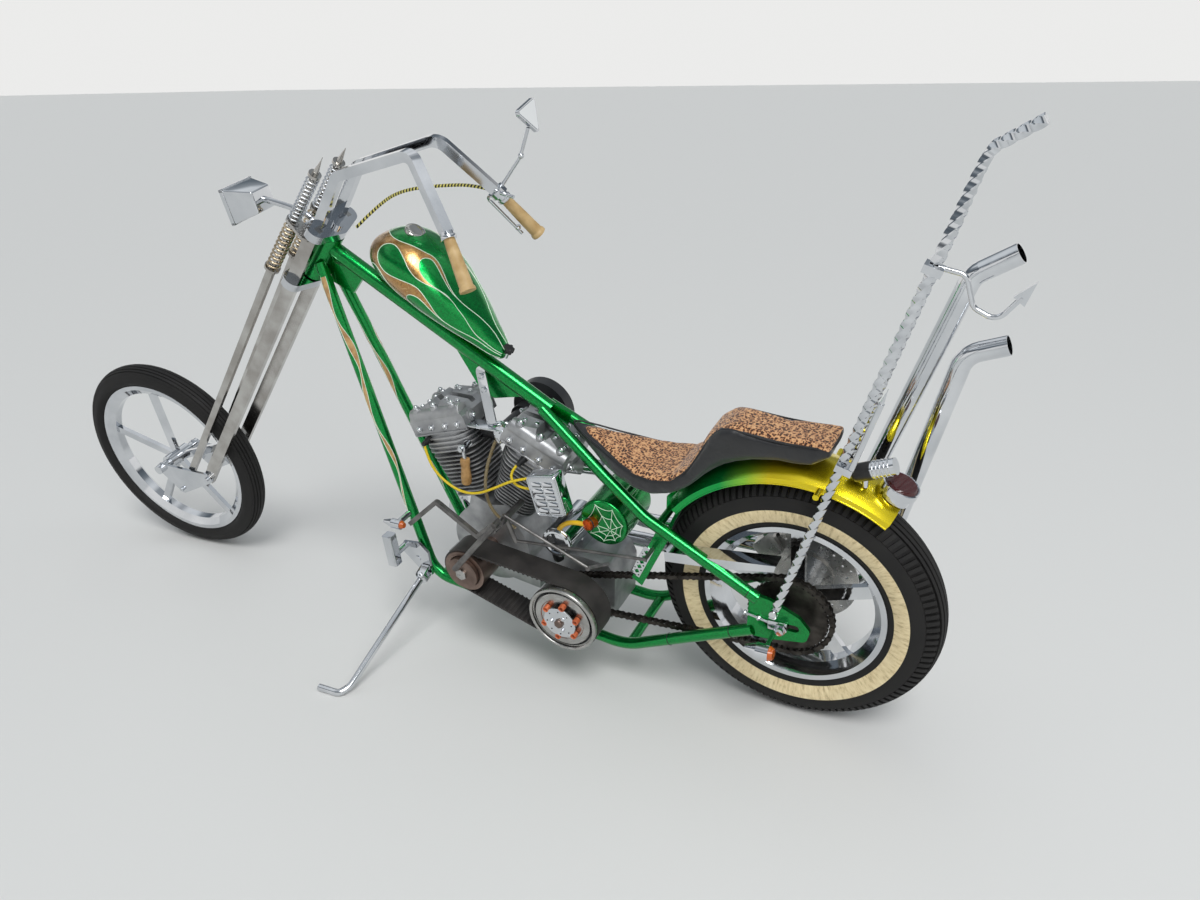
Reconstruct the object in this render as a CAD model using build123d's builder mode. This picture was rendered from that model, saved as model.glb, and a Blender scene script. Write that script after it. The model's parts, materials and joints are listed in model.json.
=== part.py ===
from build123d import *
import math
import os

# A long-forked chopper motorcycle, parked on its side stand.
# All sizes are in millimetres and all angles in degrees.
# It is drawn upright: x runs forward from the rear axle, y to the rider's left, z up from the ground.
# At the end every piece is leaned over onto the stand, and the fork is turned a little to the left.

# Stance
lean_angle = 9.8
steer_angle = 4.4

# Wheels
rear_tyre_radius = 345.0
rear_tyre_half_width = 63.0
rear_rim_radius = 222.0
rear_rim_half_width = 50.0
rear_hub_radius = 38.0
rear_hub_half_width = 70.0
front_tyre_radius = 342.0
front_tyre_half_width = 41.0
front_rim_radius = 281.0
front_rim_half_width = 28.0
front_hub_radius = 24.0
front_hub_half_width = 44.0
rim_depth = 34.0
rim_wall = 4.0
bead_seat_depth = 8.0
spoke_count = 5
rear_spoke_width = 34.0
rear_spoke_depth = 16.0
front_spoke_width = 24.0
front_spoke_depth = 14.0

# Axles and running fits
axle_radius = 9.5
running_clearance = 0.05
moving_clearance = 0.3
rear_axle_half_length = 152.0
axle_nut_radius = 15.0
axle_nut_height = 14.0
axle_spacer_radius = 14.0
axle_slot_clearance = 0.3

# Neck and fork
rake = 42.0
neck_x = 1320.0
neck_z = 1052.0
neck_length = 150.0
neck_radius = 29.0
stem_radius = 14.0
fork_offset = 132.0
tree_thickness = 24.0
tree_gap = 4.0
leg_spacing = 60.0
rear_leg_depth = 36.0
rear_leg_width = 15.0
rear_leg_top_offset = 16.0
rear_leg_foot_offset = -22.0
rear_leg_foot_drop = 950.0
front_leg_depth = 20.0
front_leg_top_offset = 86.0
front_leg_foot_offset = 37.0
front_leg_foot_drop = 1084.0
rocker_thickness = 9.0
rocker_edge = 17.0
spring_spacing = 48.0
lower_spring_radius = 19.0
lower_spring_coils = 9
upper_spring_radius = 17.0
upper_spring_coils = 11
spring_bracket_height = 132.0
spring_top = 290.0
spike_length = 44.0

# Frame tubes
rail_radius = 15.0
backbone_radius = 21.0
backbone_rear_x = 635.0
backbone_rear_z = 748.0
gusset_half_thickness = 5.0
web_half_thickness = 4.0
seat_web_half_thickness = 3.0
lower_rail_y = 97.0
rear_rail_y = 122.0
axle_plate_thickness = 10.0
axle_slot_half_length = 42.0

# Engine, tilted back in the frame
engine_x = 844.0
engine_z = 332.0
engine_tilt = 6.5
cylinder_half_angle = 22.5
crankcase_radius = 118.0
crankcase_half_width = 60.0
barrel_radius = 50.0
fin_count = 11
fin_thickness = 4.0
fin_pitch = 12.5
first_fin_height = 152.0
head_base = 290.0
rocker_box_top = 428.0
rocker_valley_floor = 396.0
rocker_valley_width = 18.0
rocker_box_half_width = 70.0
pushrod_y = 89.0
pushrod_radius = 9.0

# Primary drive
clutch_x = 551.0
clutch_z = 262.0
gearbox_half_width = 66.0
clutch_shaft_radius = 22.0
crank_shaft_radius = 20.0
belt_inner_y = 122.0
belt_width = 72.0
belt_thickness = 5.0
belt_gap = 0.2
front_pulley_radius = 60.0
clutch_radius = 92.0
clutch_plate_radius = 78.0
clutch_spring_circle = 38.0
clutch_spring_radius = 8.0
clutch_spring_count = 6
clutch_lip = 9.0
clutch_recess = 8.0

# Rear drive
chain_line_y = 84.0
chain_half_width = 9.0
chain_height = 14.0
link_pitch = 15.875
link_waist = 6.0
sprocket_teeth = 48
sprocket_notch_radius = 4.2
chain_gap = 1.0
drive_sprocket_radius = 46.0
rear_sprocket_radius = 98.0
sprocket_thickness = 7.0
brake_disc_radius = 125.0
brake_disc_y = -82.0
brake_hole_radius = 3.5
brake_disc_thickness = 5.0
caliper_gap = 6.0

# Parts on the frame
oil_tank_x = 478.0
oil_tank_z = 488.0
oil_tank_radius = 66.0
oil_tank_half_width = 75.0
fender_crown_radius = 388.0
fender_edge_radius = 352.0
fender_half_width = 74.0
fender_wall = 3.0
fender_front_angle = 38.0
fender_rear_angle = 126.0
exhaust_radius = 22.0
exhaust_wall = 2.0
exhaust_y = -178.0
sissy_bar_width = 16.0
stand_radius = 9.5
louvre_rows = 5
louvre_pitch = 19.0
louvre_height = 9.0
louvre_width = 26.0
coil_cover_face_y = 144.0

# Directions and places worked out from the sizes above
rake_sine = math.sin(math.radians(rake))
rake_cosine = math.cos(math.radians(rake))
fork = Plane(
    origin=(neck_x, 0, neck_z),
    x_dir=(rake_cosine, 0, rake_sine),
    z_dir=(-rake_sine, 0, rake_cosine),
)
front_axle_drop = (neck_z + fork_offset * rake_sine - front_tyre_radius) / rake_cosine
front_axle = fork.from_local_coords(Vector(fork_offset, 0, -front_axle_drop))
rear_axle = Vector(0, 0, rear_tyre_radius)


def wheel_plane(centre):
    return Plane(origin=centre, x_dir=(0, 1, 0), z_dir=(1, 0, 0))


def side_plane(centre, tilt=0.0):
    forward = (math.cos(math.radians(tilt)), 0, math.sin(math.radians(tilt)))
    return Plane(origin=centre, x_dir=forward, z_dir=(0, -1, 0))


def bar(points, radii, radius, inner_radius=0.0):
    with BuildLine() as path:
        if len(points) > 2:
            FilletPolyline(*points, radius=radii)
        else:
            Line(*points)
    start = Plane(origin=path.line @ 0, z_dir=path.line % 0)
    with BuildSketch(start) as section:
        Circle(radius)
        if inner_radius > 0:
            Circle(inner_radius, mode=Mode.SUBTRACT)
    sweep(section.sketch, path=path.line)


def square_bar(points, radii, width, depth):
    with BuildLine() as path:
        if len(points) > 2:
            FilletPolyline(*points, radius=radii)
        else:
            Line(*points)
    start = Plane(origin=path.line @ 0, x_dir=(0, 1, 0), z_dir=path.line % 0)
    with BuildSketch(start) as section:
        Rectangle(width, depth)
    sweep(section.sketch, path=path.line)


def disc(centre, axis, radius, length, bore=0.0):
    with BuildSketch(Plane(origin=centre, z_dir=axis)) as face:
        Circle(radius)
        if bore > 0:
            Circle(bore, mode=Mode.SUBTRACT)
    extrude(face.sketch, amount=length)


# Tyres: a round section, open at the rim
def tyre(centre, outer, half_width, rim_radius, rim_half_width):
    with BuildSketch(wheel_plane(centre)) as section:
        with BuildLine():
            crown = outer - half_width
            foot = rim_radius - bead_seat_depth
            bead = rim_half_width - rim_wall
            edge = rim_radius + 1
            swell = (crown + edge) / 2
            ThreePointArc((-half_width, crown), (0, outer), (half_width, crown))
            ThreePointArc((half_width, crown), (half_width - 2, swell), (bead, edge))
            Polyline((bead, edge), (bead, foot), (-bead, foot), (-bead, edge))
            ThreePointArc((-bead, edge), (-half_width + 2, swell), (-half_width, crown))
        make_face()
    revolve(section.sketch, axis=Axis(centre, (0, 1, 0)))


# A deep-lipped rim carried on a slim hub by rectangular spokes
def wheel(centre, rim_size, hub_size, spoke_size):
    rim_radius, rim_half_width = rim_size
    hub_radius, hub_half_width = hub_size
    spoke_width, spoke_depth = spoke_size
    lip = rim_radius
    well = rim_radius - rim_depth
    tyre_seat = rim_radius - bead_seat_depth - moving_clearance
    with BuildSketch(wheel_plane(centre)) as rim:
        with BuildLine():
            Polyline(
                (-rim_half_width, lip),
                (-rim_half_width + rim_wall, lip),
                (-rim_half_width + rim_wall, tyre_seat),
                (rim_half_width - rim_wall, tyre_seat),
                (rim_half_width - rim_wall, lip),
                (rim_half_width, lip),
                (rim_half_width, lip - 14),
                (rim_half_width * 0.45, well),
                (-rim_half_width * 0.45, well),
                (-rim_half_width, lip - 14),
                close=True,
            )
        make_face()
    revolve(rim.sketch, axis=Axis(centre, (0, 1, 0)))
    disc(centre + Vector(0, -hub_half_width, 0), (0, 1, 0), hub_radius, 2 * hub_half_width)
    spoke_reach = well + 6
    for number in range(spoke_count):
        turn = 90 + 360 / spoke_count * number
        with BuildSketch(side_plane(centre)) as spoke:
            with Locations(Rotation(0, 0, turn) * Location((spoke_reach / 2, 0))):
                Rectangle(spoke_reach, spoke_width)
        extrude(spoke.sketch, amount=spoke_depth / 2, both=True)
    with BuildSketch(side_plane(centre)) as bore:
        Circle(axle_radius + running_clearance)
    extrude(bore.sketch, amount=2 * hub_half_width, both=True, mode=Mode.SUBTRACT)


with BuildPart() as rear_tyre:
    tyre(rear_axle, rear_tyre_radius, rear_tyre_half_width, rear_rim_radius, rear_rim_half_width)

with BuildPart() as rear_wheel:
    wheel(
        rear_axle,
        (rear_rim_radius, rear_rim_half_width),
        (rear_hub_radius, rear_hub_half_width),
        (rear_spoke_width, rear_spoke_depth),
    )

with BuildPart() as front_tyre:
    tyre(front_axle, front_tyre_radius, front_tyre_half_width, front_rim_radius, front_rim_half_width)

with BuildPart() as front_wheel:
    wheel(
        front_axle,
        (front_rim_radius, front_rim_half_width),
        (front_hub_radius, front_hub_half_width),
        (front_spoke_width, front_spoke_depth),
    )

# Frame: the neck with its backbone, and a round tube each side above and below
backbone_front = fork.from_local_coords(Vector(0, 0, neck_length * 0.72))
backbone_rear = Vector(backbone_rear_x, 0, backbone_rear_z)
with BuildPart() as frame_backbone:
    disc(Vector(neck_x, 0, neck_z), fork.z_dir, neck_radius, neck_length)
    bar([backbone_front, backbone_rear], [], backbone_radius)
    with BuildSketch(side_plane((0, 0, 0))):
        with BuildLine():
            Polyline((905, 905), (838, 775), (800, 757), (716, 774), (690, 790), close=True)
        make_face()
    extrude(amount=web_half_thickness, both=True)
    with BuildSketch(side_plane((0, 0, 0))):
        with BuildLine():
            Polyline((1268, 1092), (1140, 1062), (1195, 1005), (1262, 1035), close=True)
        make_face()
    extrude(amount=gusset_half_thickness, both=True)
    with BuildSketch(side_plane((0, 0, 0))):
        with BuildLine():
            Polyline((690, 794), (579, 747), (592, 712), (640, 740), close=True)
        make_face()
    extrude(amount=seat_web_half_thickness, both=True)
    disc(Vector(neck_x, 0, neck_z) - fork.z_dir * 1, fork.z_dir, stem_radius + 2, neck_length + 2)
    with BuildSketch(fork.offset(-1)):
        Circle(stem_radius + running_clearance)
    extrude(amount=neck_length + 2, mode=Mode.SUBTRACT)


with BuildPart() as neck_core:
    disc(fork.origin, fork.z_dir, neck_radius, neck_length)


def cradle(side):
    bar(
        [
            (1268, side * 22, 1090),
            (1036, side * lower_rail_y, 204),
            (430, side * 104, 133),
            (72, side * rear_rail_y, 312),
        ],
        [80, 150],
        rail_radius,
    )
    add(frame_backbone.part, mode=Mode.SUBTRACT)
    add(neck_core.part, mode=Mode.SUBTRACT)


def seat_rail(side):
    bar(
        [
            (650, side * 18, 756),
            (470, side * 60, 622),
            (350, side * 92, 546),
            (60, side * rear_rail_y, 405),
        ],
        [160, 160],
        rail_radius,
    )
    add(frame_backbone.part, mode=Mode.SUBTRACT)
    plate_y = side * rear_rail_y
    with BuildSketch(side_plane((0, plate_y, 0))) as plate:
        with BuildLine():
            plate_corners = [(78, 420), (30, 412), (-40, 378), (-66, 345), (-56, 312), (40, 296), (88, 296)]
            Polyline(*plate_corners, close=True)
        make_face()
        fillet(vertices().sort_by(Axis.X)[:3], 16)
        with Locations((2, rear_tyre_radius)):
            slot_width = 2 * (axle_radius + axle_slot_clearance)
            SlotOverall(2 * axle_slot_half_length, slot_width, mode=Mode.SUBTRACT)
    extrude(plate.sketch, amount=axle_plate_thickness / 2, both=True)


with BuildPart() as frame_seat_rail_left:
    seat_rail(1)

with BuildPart() as frame_seat_rail_right:
    seat_rail(-1)

with BuildPart() as frame_cradle_left:
    cradle(1)
    add(frame_seat_rail_left.part, mode=Mode.SUBTRACT)

with BuildPart() as frame_cradle_right:
    cradle(-1)
    add(frame_seat_rail_right.part, mode=Mode.SUBTRACT)

frame_tubes = [frame_cradle_left, frame_cradle_right, frame_seat_rail_left, frame_seat_rail_right]

# Cross members: name, x, z, reach each side, radius
cross_tubes = [
    ("front", 1015, 196, 97, 13),
    ("middle", 660, 158, 100, 13),
    ("rear", 420, 136, 104, 13),
    ("seat", 408, 583, 76, 10),
    ("guard", 318, 530, 94, 10),
]
with BuildPart() as frame_cross_tubes:
    for name, x, z, reach, radius in cross_tubes:
        disc(Vector(x, -reach, z), (0, 1, 0), radius, 2 * reach)
    for tube in frame_tubes:
        add(tube.part, mode=Mode.SUBTRACT)

# Engine
engine = side_plane((engine_x, 0, engine_z), engine_tilt)


def engine_point(along, up, y=0.0):
    return engine.from_local_coords(Vector(along, up, -y))


with BuildPart() as engine_crankcase:
    with BuildSketch(engine):
        Circle(crankcase_radius)
        with BuildLine():
            Polyline((-70, 90), (70, 90), (58, 146), (0, 128), (-58, 146), close=True)
        make_face()
        with BuildLine():
            Polyline((60, -100), (150, -104), (150, -84), (90, -40), close=True)
        make_face()
        with BuildLine():
            Polyline((-60, -100), (-150, -104), (-150, -80), (-100, -20), close=True)
        make_face()
    extrude(amount=crankcase_half_width, both=True)
    with BuildSketch(engine.offset(crankcase_half_width)):
        with BuildLine():
            Polyline((-100, -40), (-90, 80), (10, 100), (110, 40), (110, -60), (0, -95), close=True)
        make_face()
        fillet(vertices(), 18)
    extrude(amount=42)


def cylinder_plane(lean):
    return Plane(
        origin=(engine_x, 0, engine_z),
        x_dir=(math.cos(math.radians(lean)), 0, -math.sin(math.radians(lean))),
        z_dir=(math.sin(math.radians(lean)), 0, math.cos(math.radians(lean))),
    )


front_cylinder = cylinder_plane(cylinder_half_angle - engine_tilt)
rear_cylinder = cylinder_plane(-cylinder_half_angle - engine_tilt)

with BuildPart() as engine_cylinders:
    for plane in (front_cylinder, rear_cylinder):
        with BuildSketch(plane.offset(146)):
            Circle(barrel_radius)
        extrude(amount=head_base - 146)
        for number in range(fin_count):
            reach = 62 + 14 * number / (fin_count - 1)
            with BuildSketch(plane.offset(first_fin_height + fin_pitch * number)):
                RectangleRounded(2 * reach, 2 * reach, reach * 0.55)
            extrude(amount=fin_thickness)
    add(engine_crankcase.part, mode=Mode.SUBTRACT)

with BuildPart() as engine_heads:
    for plane in (front_cylinder, rear_cylinder):
        with BuildSketch(plane.offset(head_base)):
            RectangleRounded(136, 140, 40)
        extrude(amount=56)
        for number in range(4):
            with BuildSketch(plane.offset(head_base + 4 + 13 * number)):
                RectangleRounded(166, 156, 50)
            extrude(amount=fin_thickness)
        side = Plane(origin=plane.origin, x_dir=plane.x_dir, z_dir=(0, -1, 0))
        with BuildSketch(side):
            with BuildLine():
                Polyline(
                    (-92, 346),
                    (-92, 385),
                    (-80, 408),
                    (-20, rocker_box_top),
                    (-6, 402),
                    (6, 402),
                    (20, rocker_box_top),
                    (80, 408),
                    (92, 385),
                    (92, 346),
                    close=True,
                )
            make_face()
        extrude(amount=rocker_box_half_width, both=True)
        with BuildSketch(side):
            with Locations((0, rocker_valley_floor + 40)):
                Rectangle(200, 80)
        extrude(amount=rocker_valley_width / 2, both=True, mode=Mode.SUBTRACT)
        for across in (-1, 1):
            with BuildSketch(Plane(origin=plane.origin, x_dir=(0, 1, 0), z_dir=plane.x_dir)):
                with BuildLine():
                    Polyline((across * 74, 392), (across * 74, 440), (across * 40, 440), close=True)
                make_face()
            extrude(amount=100, both=True, mode=Mode.SUBTRACT)
        with BuildSketch(side.offset(60)):
            with Locations((0, 352)):
                Rectangle(78, 30)
        extrude(amount=pushrod_y + pushrod_radius + 3 - 60)

# Exhaust ports, on which the pipes begin
# each row: centre on the head, first corner of the pipe, reach of the port
port_radius = 26.0
front_port = (Vector(1002, -44, 615), Vector(1056, -92, 590), 26)
rear_port = (Vector(622, -44, 568), Vector(566, -84, 545), 26)
with BuildPart() as exhaust_ports:
    for centre, corner, reach in (front_port, rear_port):
        outward = (corner - centre).normalized()
        disc(centre - outward * 20, outward, port_radius, 20 + reach)
    add(engine_cylinders.part, mode=Mode.SUBTRACT)

with BuildPart() as heads_with_ports:
    add(engine_heads.part)
    add(exhaust_ports.part)


def port_face(port):
    centre, corner, reach = port
    return tuple(centre + (corner - centre).normalized() * reach)


# Pushrod tubes stand up the right side from the cam case to each head
with BuildPart() as engine_pushrods:
    for lean, offset in ((1, -16), (1, 16), (-1, -16), (-1, 16)):
        plane = front_cylinder if lean == 1 else rear_cylinder
        side = Plane(origin=plane.origin, x_dir=plane.x_dir, z_dir=(0, -1, 0))
        foot = engine_point(lean * 45 + offset * 1.2, 62, -pushrod_y)
        top = side.from_local_coords(Vector(offset * 1.6, 352, pushrod_y))
        bar([foot, top], [], pushrod_radius)
    add(engine_heads.part, mode=Mode.SUBTRACT)
    add(engine_crankcase.part, mode=Mode.SUBTRACT)

with BuildPart() as carburettor_blank:
    disc(engine_point(-20, 330, 0), (0, -1, 0), 26, 110)
    disc(engine_point(-20, 330, -86), (0, -1, 0), 34, 34)
    disc(engine_point(-60, 345, -118), (0, -1, 0), 84, 34)
    rear_inlet = rear_cylinder.from_local_coords(Vector(50, 0, 325))
    front_inlet = front_cylinder.from_local_coords(Vector(-50, 0, 325))
    bar([rear_inlet, front_inlet], [], 19)
    add(engine_heads.part, mode=Mode.SUBTRACT)
    add(engine_cylinders.part, mode=Mode.SUBTRACT)
    add(engine_pushrods.part, mode=Mode.SUBTRACT)

with BuildPart() as engine_carburettor:
    add(carburettor_blank.part.solids().sort_by(SortBy.VOLUME)[-1])

with BuildPart() as gearbox:
    with BuildSketch(side_plane((clutch_x, 0, clutch_z), engine_tilt)):
        with BuildLine():
            Polyline((-80, -78), (95, -78), (95, 70), (60, 96), (-60, 96), (-80, 60), close=True)
        make_face()
        fillet(vertices(), 14)
    extrude(amount=gearbox_half_width, both=True)
    shaft_reach = belt_inner_y - gearbox_half_width
    disc(Vector(clutch_x, gearbox_half_width, clutch_z), (0, 1, 0), clutch_shaft_radius, shaft_reach)
    add(engine_crankcase.part, mode=Mode.SUBTRACT)

# Primary drive on the left: front pulley, toothed belt and open clutch
pulley_back = belt_inner_y - 4
belt_outer_y = belt_inner_y + belt_width
with BuildPart() as front_pulley:
    disc(Vector(engine_x, pulley_back, engine_z), (0, 1, 0), front_pulley_radius, belt_width + 8)
    disc(Vector(engine_x, belt_outer_y - 24, engine_z), (0, 1, 0), 46, 40)
    with BuildSketch(side_plane((engine_x, belt_outer_y + 4, engine_z))):
        Circle(48)
        Circle(crank_shaft_radius, mode=Mode.SUBTRACT)
    extrude(amount=30, mode=Mode.SUBTRACT)
    shaft_reach = pulley_back - crankcase_half_width
    disc(Vector(engine_x, crankcase_half_width, engine_z), (0, 1, 0), crank_shaft_radius, shaft_reach)

clutch_face = belt_outer_y + 16
with BuildPart() as clutch:
    disc(Vector(clutch_x, pulley_back, clutch_z), (0, 1, 0), clutch_radius, clutch_face - pulley_back)
    with BuildSketch(side_plane((clutch_x, clutch_face, clutch_z))):
        Circle(clutch_radius - clutch_lip)
        Circle(34, mode=Mode.SUBTRACT)
    extrude(amount=clutch_recess, mode=Mode.SUBTRACT)
    disc(Vector(clutch_x, clutch_face, clutch_z), (0, 1, 0), clutch_plate_radius, 4)
    with BuildSketch(side_plane((clutch_x, clutch_face - clutch_recess, clutch_z))):
        with PolarLocations(clutch_spring_circle, clutch_spring_count):
            Circle(clutch_spring_radius)
    extrude(amount=-24)
    disc(Vector(clutch_x, clutch_face + 8, clutch_z), (0, 1, 0), clutch_spring_circle, 4)
    disc(Vector(clutch_x, clutch_face + 12, clutch_z), (0, 1, 0), 12, 5)
    with BuildSketch(side_plane((clutch_x, belt_inner_y, clutch_z))):
        Circle(clutch_shaft_radius + 0.1)
    extrude(amount=30, both=True, mode=Mode.SUBTRACT)
    disc(Vector(clutch_x, belt_inner_y, clutch_z), (0, 1, 0), clutch_shaft_radius + 2, 10)

drive_span = math.hypot(engine_x - clutch_x, engine_z - clutch_z)
drive_tilt = math.degrees(math.atan2(engine_z - clutch_z, engine_x - clutch_x))
with BuildPart() as primary_belt:
    belt_plane = side_plane((clutch_x, belt_inner_y, clutch_z), drive_tilt)
    with BuildSketch(belt_plane):
        Circle(clutch_radius + belt_thickness)
        with Locations((drive_span, 0)):
            Circle(front_pulley_radius + belt_thickness)
        make_hull()
        with BuildSketch(belt_plane, mode=Mode.PRIVATE) as core:
            Circle(clutch_radius + belt_gap)
            with Locations((drive_span, 0)):
                Circle(front_pulley_radius + belt_gap)
            make_hull()
        add(core.sketch_local, mode=Mode.SUBTRACT)
    extrude(amount=-belt_width)

# Final drive: sprockets and chain on the left
chain_span = math.hypot(clutch_x, clutch_z - rear_tyre_radius)
chain_tilt = math.degrees(math.atan2(clutch_z - rear_tyre_radius, clutch_x))


def chain_waists(outer):
    # middles of the links along one edge of the loop: x, z and turn in the plane of the chain
    reach = chain_gap + (chain_height + 4 if outer else -4)
    back = rear_sprocket_radius + reach
    front = drive_sprocket_radius + reach
    pin_back = rear_sprocket_radius + chain_gap + chain_height / 2
    pin_front = drive_sprocket_radius + chain_gap + chain_height / 2
    splay = math.degrees(math.asin((pin_back - pin_front) / chain_span))
    straight = chain_span * math.cos(math.radians(splay))
    places = []
    for side in (1, -1):
        links = round(straight / link_pitch)
        for link in range(links):
            run = (link + 0.5) * straight / links
            turn = side * (90 - splay)
            along = turn - side * 90
            foot = Vector(math.cos(math.radians(turn)), math.sin(math.radians(turn))) * back
            ahead = Vector(math.cos(math.radians(along)), math.sin(math.radians(along))) * run
            places.append((foot.X + ahead.X, foot.Y + ahead.Y, turn))
    for centre, radius, pin_radius, first, last in (
        (0, back, pin_back, 90 - splay, 270 + splay),
        (chain_span, front, pin_front, -90 + splay, 90 - splay),
    ):
        links = round(math.radians(last - first) * pin_radius / link_pitch)
        for link in range(links):
            turn = first + (last - first) * (link + 0.5) / links
            x = centre + radius * math.cos(math.radians(turn))
            z = radius * math.sin(math.radians(turn))
            places.append((x, z, turn))
    return places


with BuildPart() as drive_chain:
    chain_plane = side_plane((0, chain_line_y + chain_half_width, rear_tyre_radius), chain_tilt)
    with BuildSketch(chain_plane):
        Circle(rear_sprocket_radius + chain_gap + chain_height)
        with Locations((chain_span, 0)):
            Circle(drive_sprocket_radius + chain_gap + chain_height)
        make_hull()
        with BuildSketch(chain_plane, mode=Mode.PRIVATE) as core:
            Circle(rear_sprocket_radius + chain_gap)
            with Locations((chain_span, 0)):
                Circle(drive_sprocket_radius + chain_gap)
            make_hull()
        add(core.sketch_local, mode=Mode.SUBTRACT)
    extrude(amount=2 * chain_half_width)
    with BuildSketch(chain_plane) as waists:
        with Locations(*[Location((x, z), turn) for x, z, turn in chain_waists(True) + chain_waists(False)]):
            RegularPolygon(link_waist, 4, rotation=45)
    extrude(waists.sketch, amount=2 * chain_half_width, mode=Mode.SUBTRACT)

with BuildPart() as rear_sprocket:
    sprocket_inner_y = chain_line_y - sprocket_thickness / 2
    disc(Vector(0, sprocket_inner_y, rear_tyre_radius), (0, 1, 0), rear_sprocket_radius, sprocket_thickness)
    with BuildSketch(side_plane((0, chain_line_y, rear_tyre_radius))) as gaps:
        with PolarLocations(rear_sprocket_radius, sprocket_teeth):
            RegularPolygon(sprocket_notch_radius, 6)
    extrude(gaps.sketch, amount=sprocket_thickness, both=True, mode=Mode.SUBTRACT)
    carrier_depth = sprocket_inner_y - rear_hub_half_width
    disc(Vector(0, rear_hub_half_width, rear_tyre_radius), (0, 1, 0), 50, carrier_depth)
    with BuildSketch(side_plane(rear_axle)):
        Circle(axle_radius + running_clearance)
    extrude(amount=120, both=True, mode=Mode.SUBTRACT)

with BuildPart() as rear_brake_disc:
    disc(Vector(0, brake_disc_y, rear_tyre_radius), (0, 1, 0), brake_disc_radius, brake_disc_thickness, 62)
    carrier_depth = -brake_disc_y - rear_hub_half_width
    axle_bore = axle_radius + running_clearance
    disc(Vector(0, -rear_hub_half_width, rear_tyre_radius), (0, -1, 0), 66, carrier_depth, axle_bore)
    with BuildSketch(side_plane((0, brake_disc_y, rear_tyre_radius))) as drilling:
        for ring, start in ((112, 0), (98, 10)):
            with PolarLocations(ring, 18, start_angle=start):
                Circle(brake_hole_radius)
    extrude(drilling.sketch, amount=10, both=True, mode=Mode.SUBTRACT)

axle_right_end = rear_axle - Vector(0, rear_axle_half_length, 0)
plate_outside = rear_rail_y + axle_plate_thickness / 2
with BuildPart() as rear_axle_bolt:
    disc(axle_right_end, (0, 1, 0), axle_radius, 2 * rear_axle_half_length)
    for side in (1, -1):
        with BuildSketch(side_plane((0, side * plate_outside, rear_tyre_radius))):
            RegularPolygon(axle_nut_radius, 6)
        extrude(amount=-side * axle_nut_height)
        inner = plate_outside - axle_plate_thickness
        reach = inner - (chain_line_y + sprocket_thickness / 2) - moving_clearance
        if side == -1:
            reach = inner + brake_disc_y - moving_clearance
        disc(Vector(0, side * inner, rear_tyre_radius), (0, -side, 0), axle_spacer_radius, reach)

# Fork: rockers on square legs, two trees, stacked springs and the front axle
lower_tree_top = -tree_gap
upper_tree_base = neck_length + tree_gap
upper_tree_top = upper_tree_base + tree_thickness
rear_leg_slope = (rear_leg_top_offset - rear_leg_foot_offset) / rear_leg_foot_drop


def fork_point(forward, left, up):
    return fork.from_local_coords(Vector(forward, left, up))


def leg(top, foot, depth, width):
    direction = foot - top
    with BuildSketch(Plane(origin=top, x_dir=(0, 1, 0), z_dir=direction.normalized())) as section:
        Rectangle(width, depth)
    extrude(section.sketch, amount=direction.length)


fork_side = Plane(origin=fork.origin, x_dir=fork.x_dir, z_dir=(0, -1, 0))
rocker_inner_y = leg_spacing + rear_leg_width / 2 + 0.5
rocker_outer_y = rocker_inner_y + rocker_thickness
rocker_pins = [(rear_leg_foot_offset, -rear_leg_foot_drop), (front_leg_foot_offset, -front_leg_foot_drop)]
with BuildPart() as front_axle_bolt:
    front_axle_half_length = rocker_outer_y + axle_nut_height
    front_axle_end = front_axle - Vector(0, front_axle_half_length, 0)
    disc(front_axle_end, (0, 1, 0), axle_radius, 2 * front_axle_half_length)
    spacer_length = rocker_inner_y - front_hub_half_width - moving_clearance
    for side in (1, -1):
        nut_seat = front_axle + Vector(0, side * rocker_outer_y, 0)
        spacer_seat = front_axle + Vector(0, side * rocker_inner_y, 0)
        disc(nut_seat, (0, side, 0), axle_nut_radius, axle_nut_height)
        disc(spacer_seat, (0, -side, 0), axle_spacer_radius, spacer_length)

with BuildPart() as fork_rockers:
    for side in (1, -1):
        with BuildSketch(fork_side.offset(-side * rocker_inner_y)):
            with Locations(*rocker_pins, (fork_offset, -front_axle_drop)):
                Circle(rocker_edge)
            make_hull()
        extrude(amount=-side * rocker_thickness)
        for forward, up in rocker_pins:
            pin_start = fork_point(forward, side * (leg_spacing - 10), up)
            disc(pin_start, (0, side, 0), 7, rocker_outer_y + 18 - leg_spacing)
    add(front_axle_bolt.part, mode=Mode.SUBTRACT)

with BuildPart() as fork_legs:
    for side in (1, -1):
        leg_top_forward = rear_leg_top_offset + rear_leg_slope * upper_tree_top
        leg(
            fork_point(leg_top_forward, side * leg_spacing, upper_tree_top),
            fork_point(rear_leg_foot_offset, side * leg_spacing, -rear_leg_foot_drop - 16),
            rear_leg_depth,
            rear_leg_width,
        )
        with BuildSketch(fork.offset(spring_bracket_height)):
            spring_seat = (front_leg_top_offset, side * spring_spacing)
            with Locations((rear_leg_top_offset + 22, side * leg_spacing), spring_seat):
                Circle(19)
            make_hull()
        extrude(amount=8)
        with BuildSketch(fork.offset(spring_bracket_height - 1)):
            with Locations((front_leg_top_offset, side * spring_spacing)):
                Circle(8.3)
        extrude(amount=12, mode=Mode.SUBTRACT)
    add(fork_rockers.part, mode=Mode.SUBTRACT)

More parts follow.
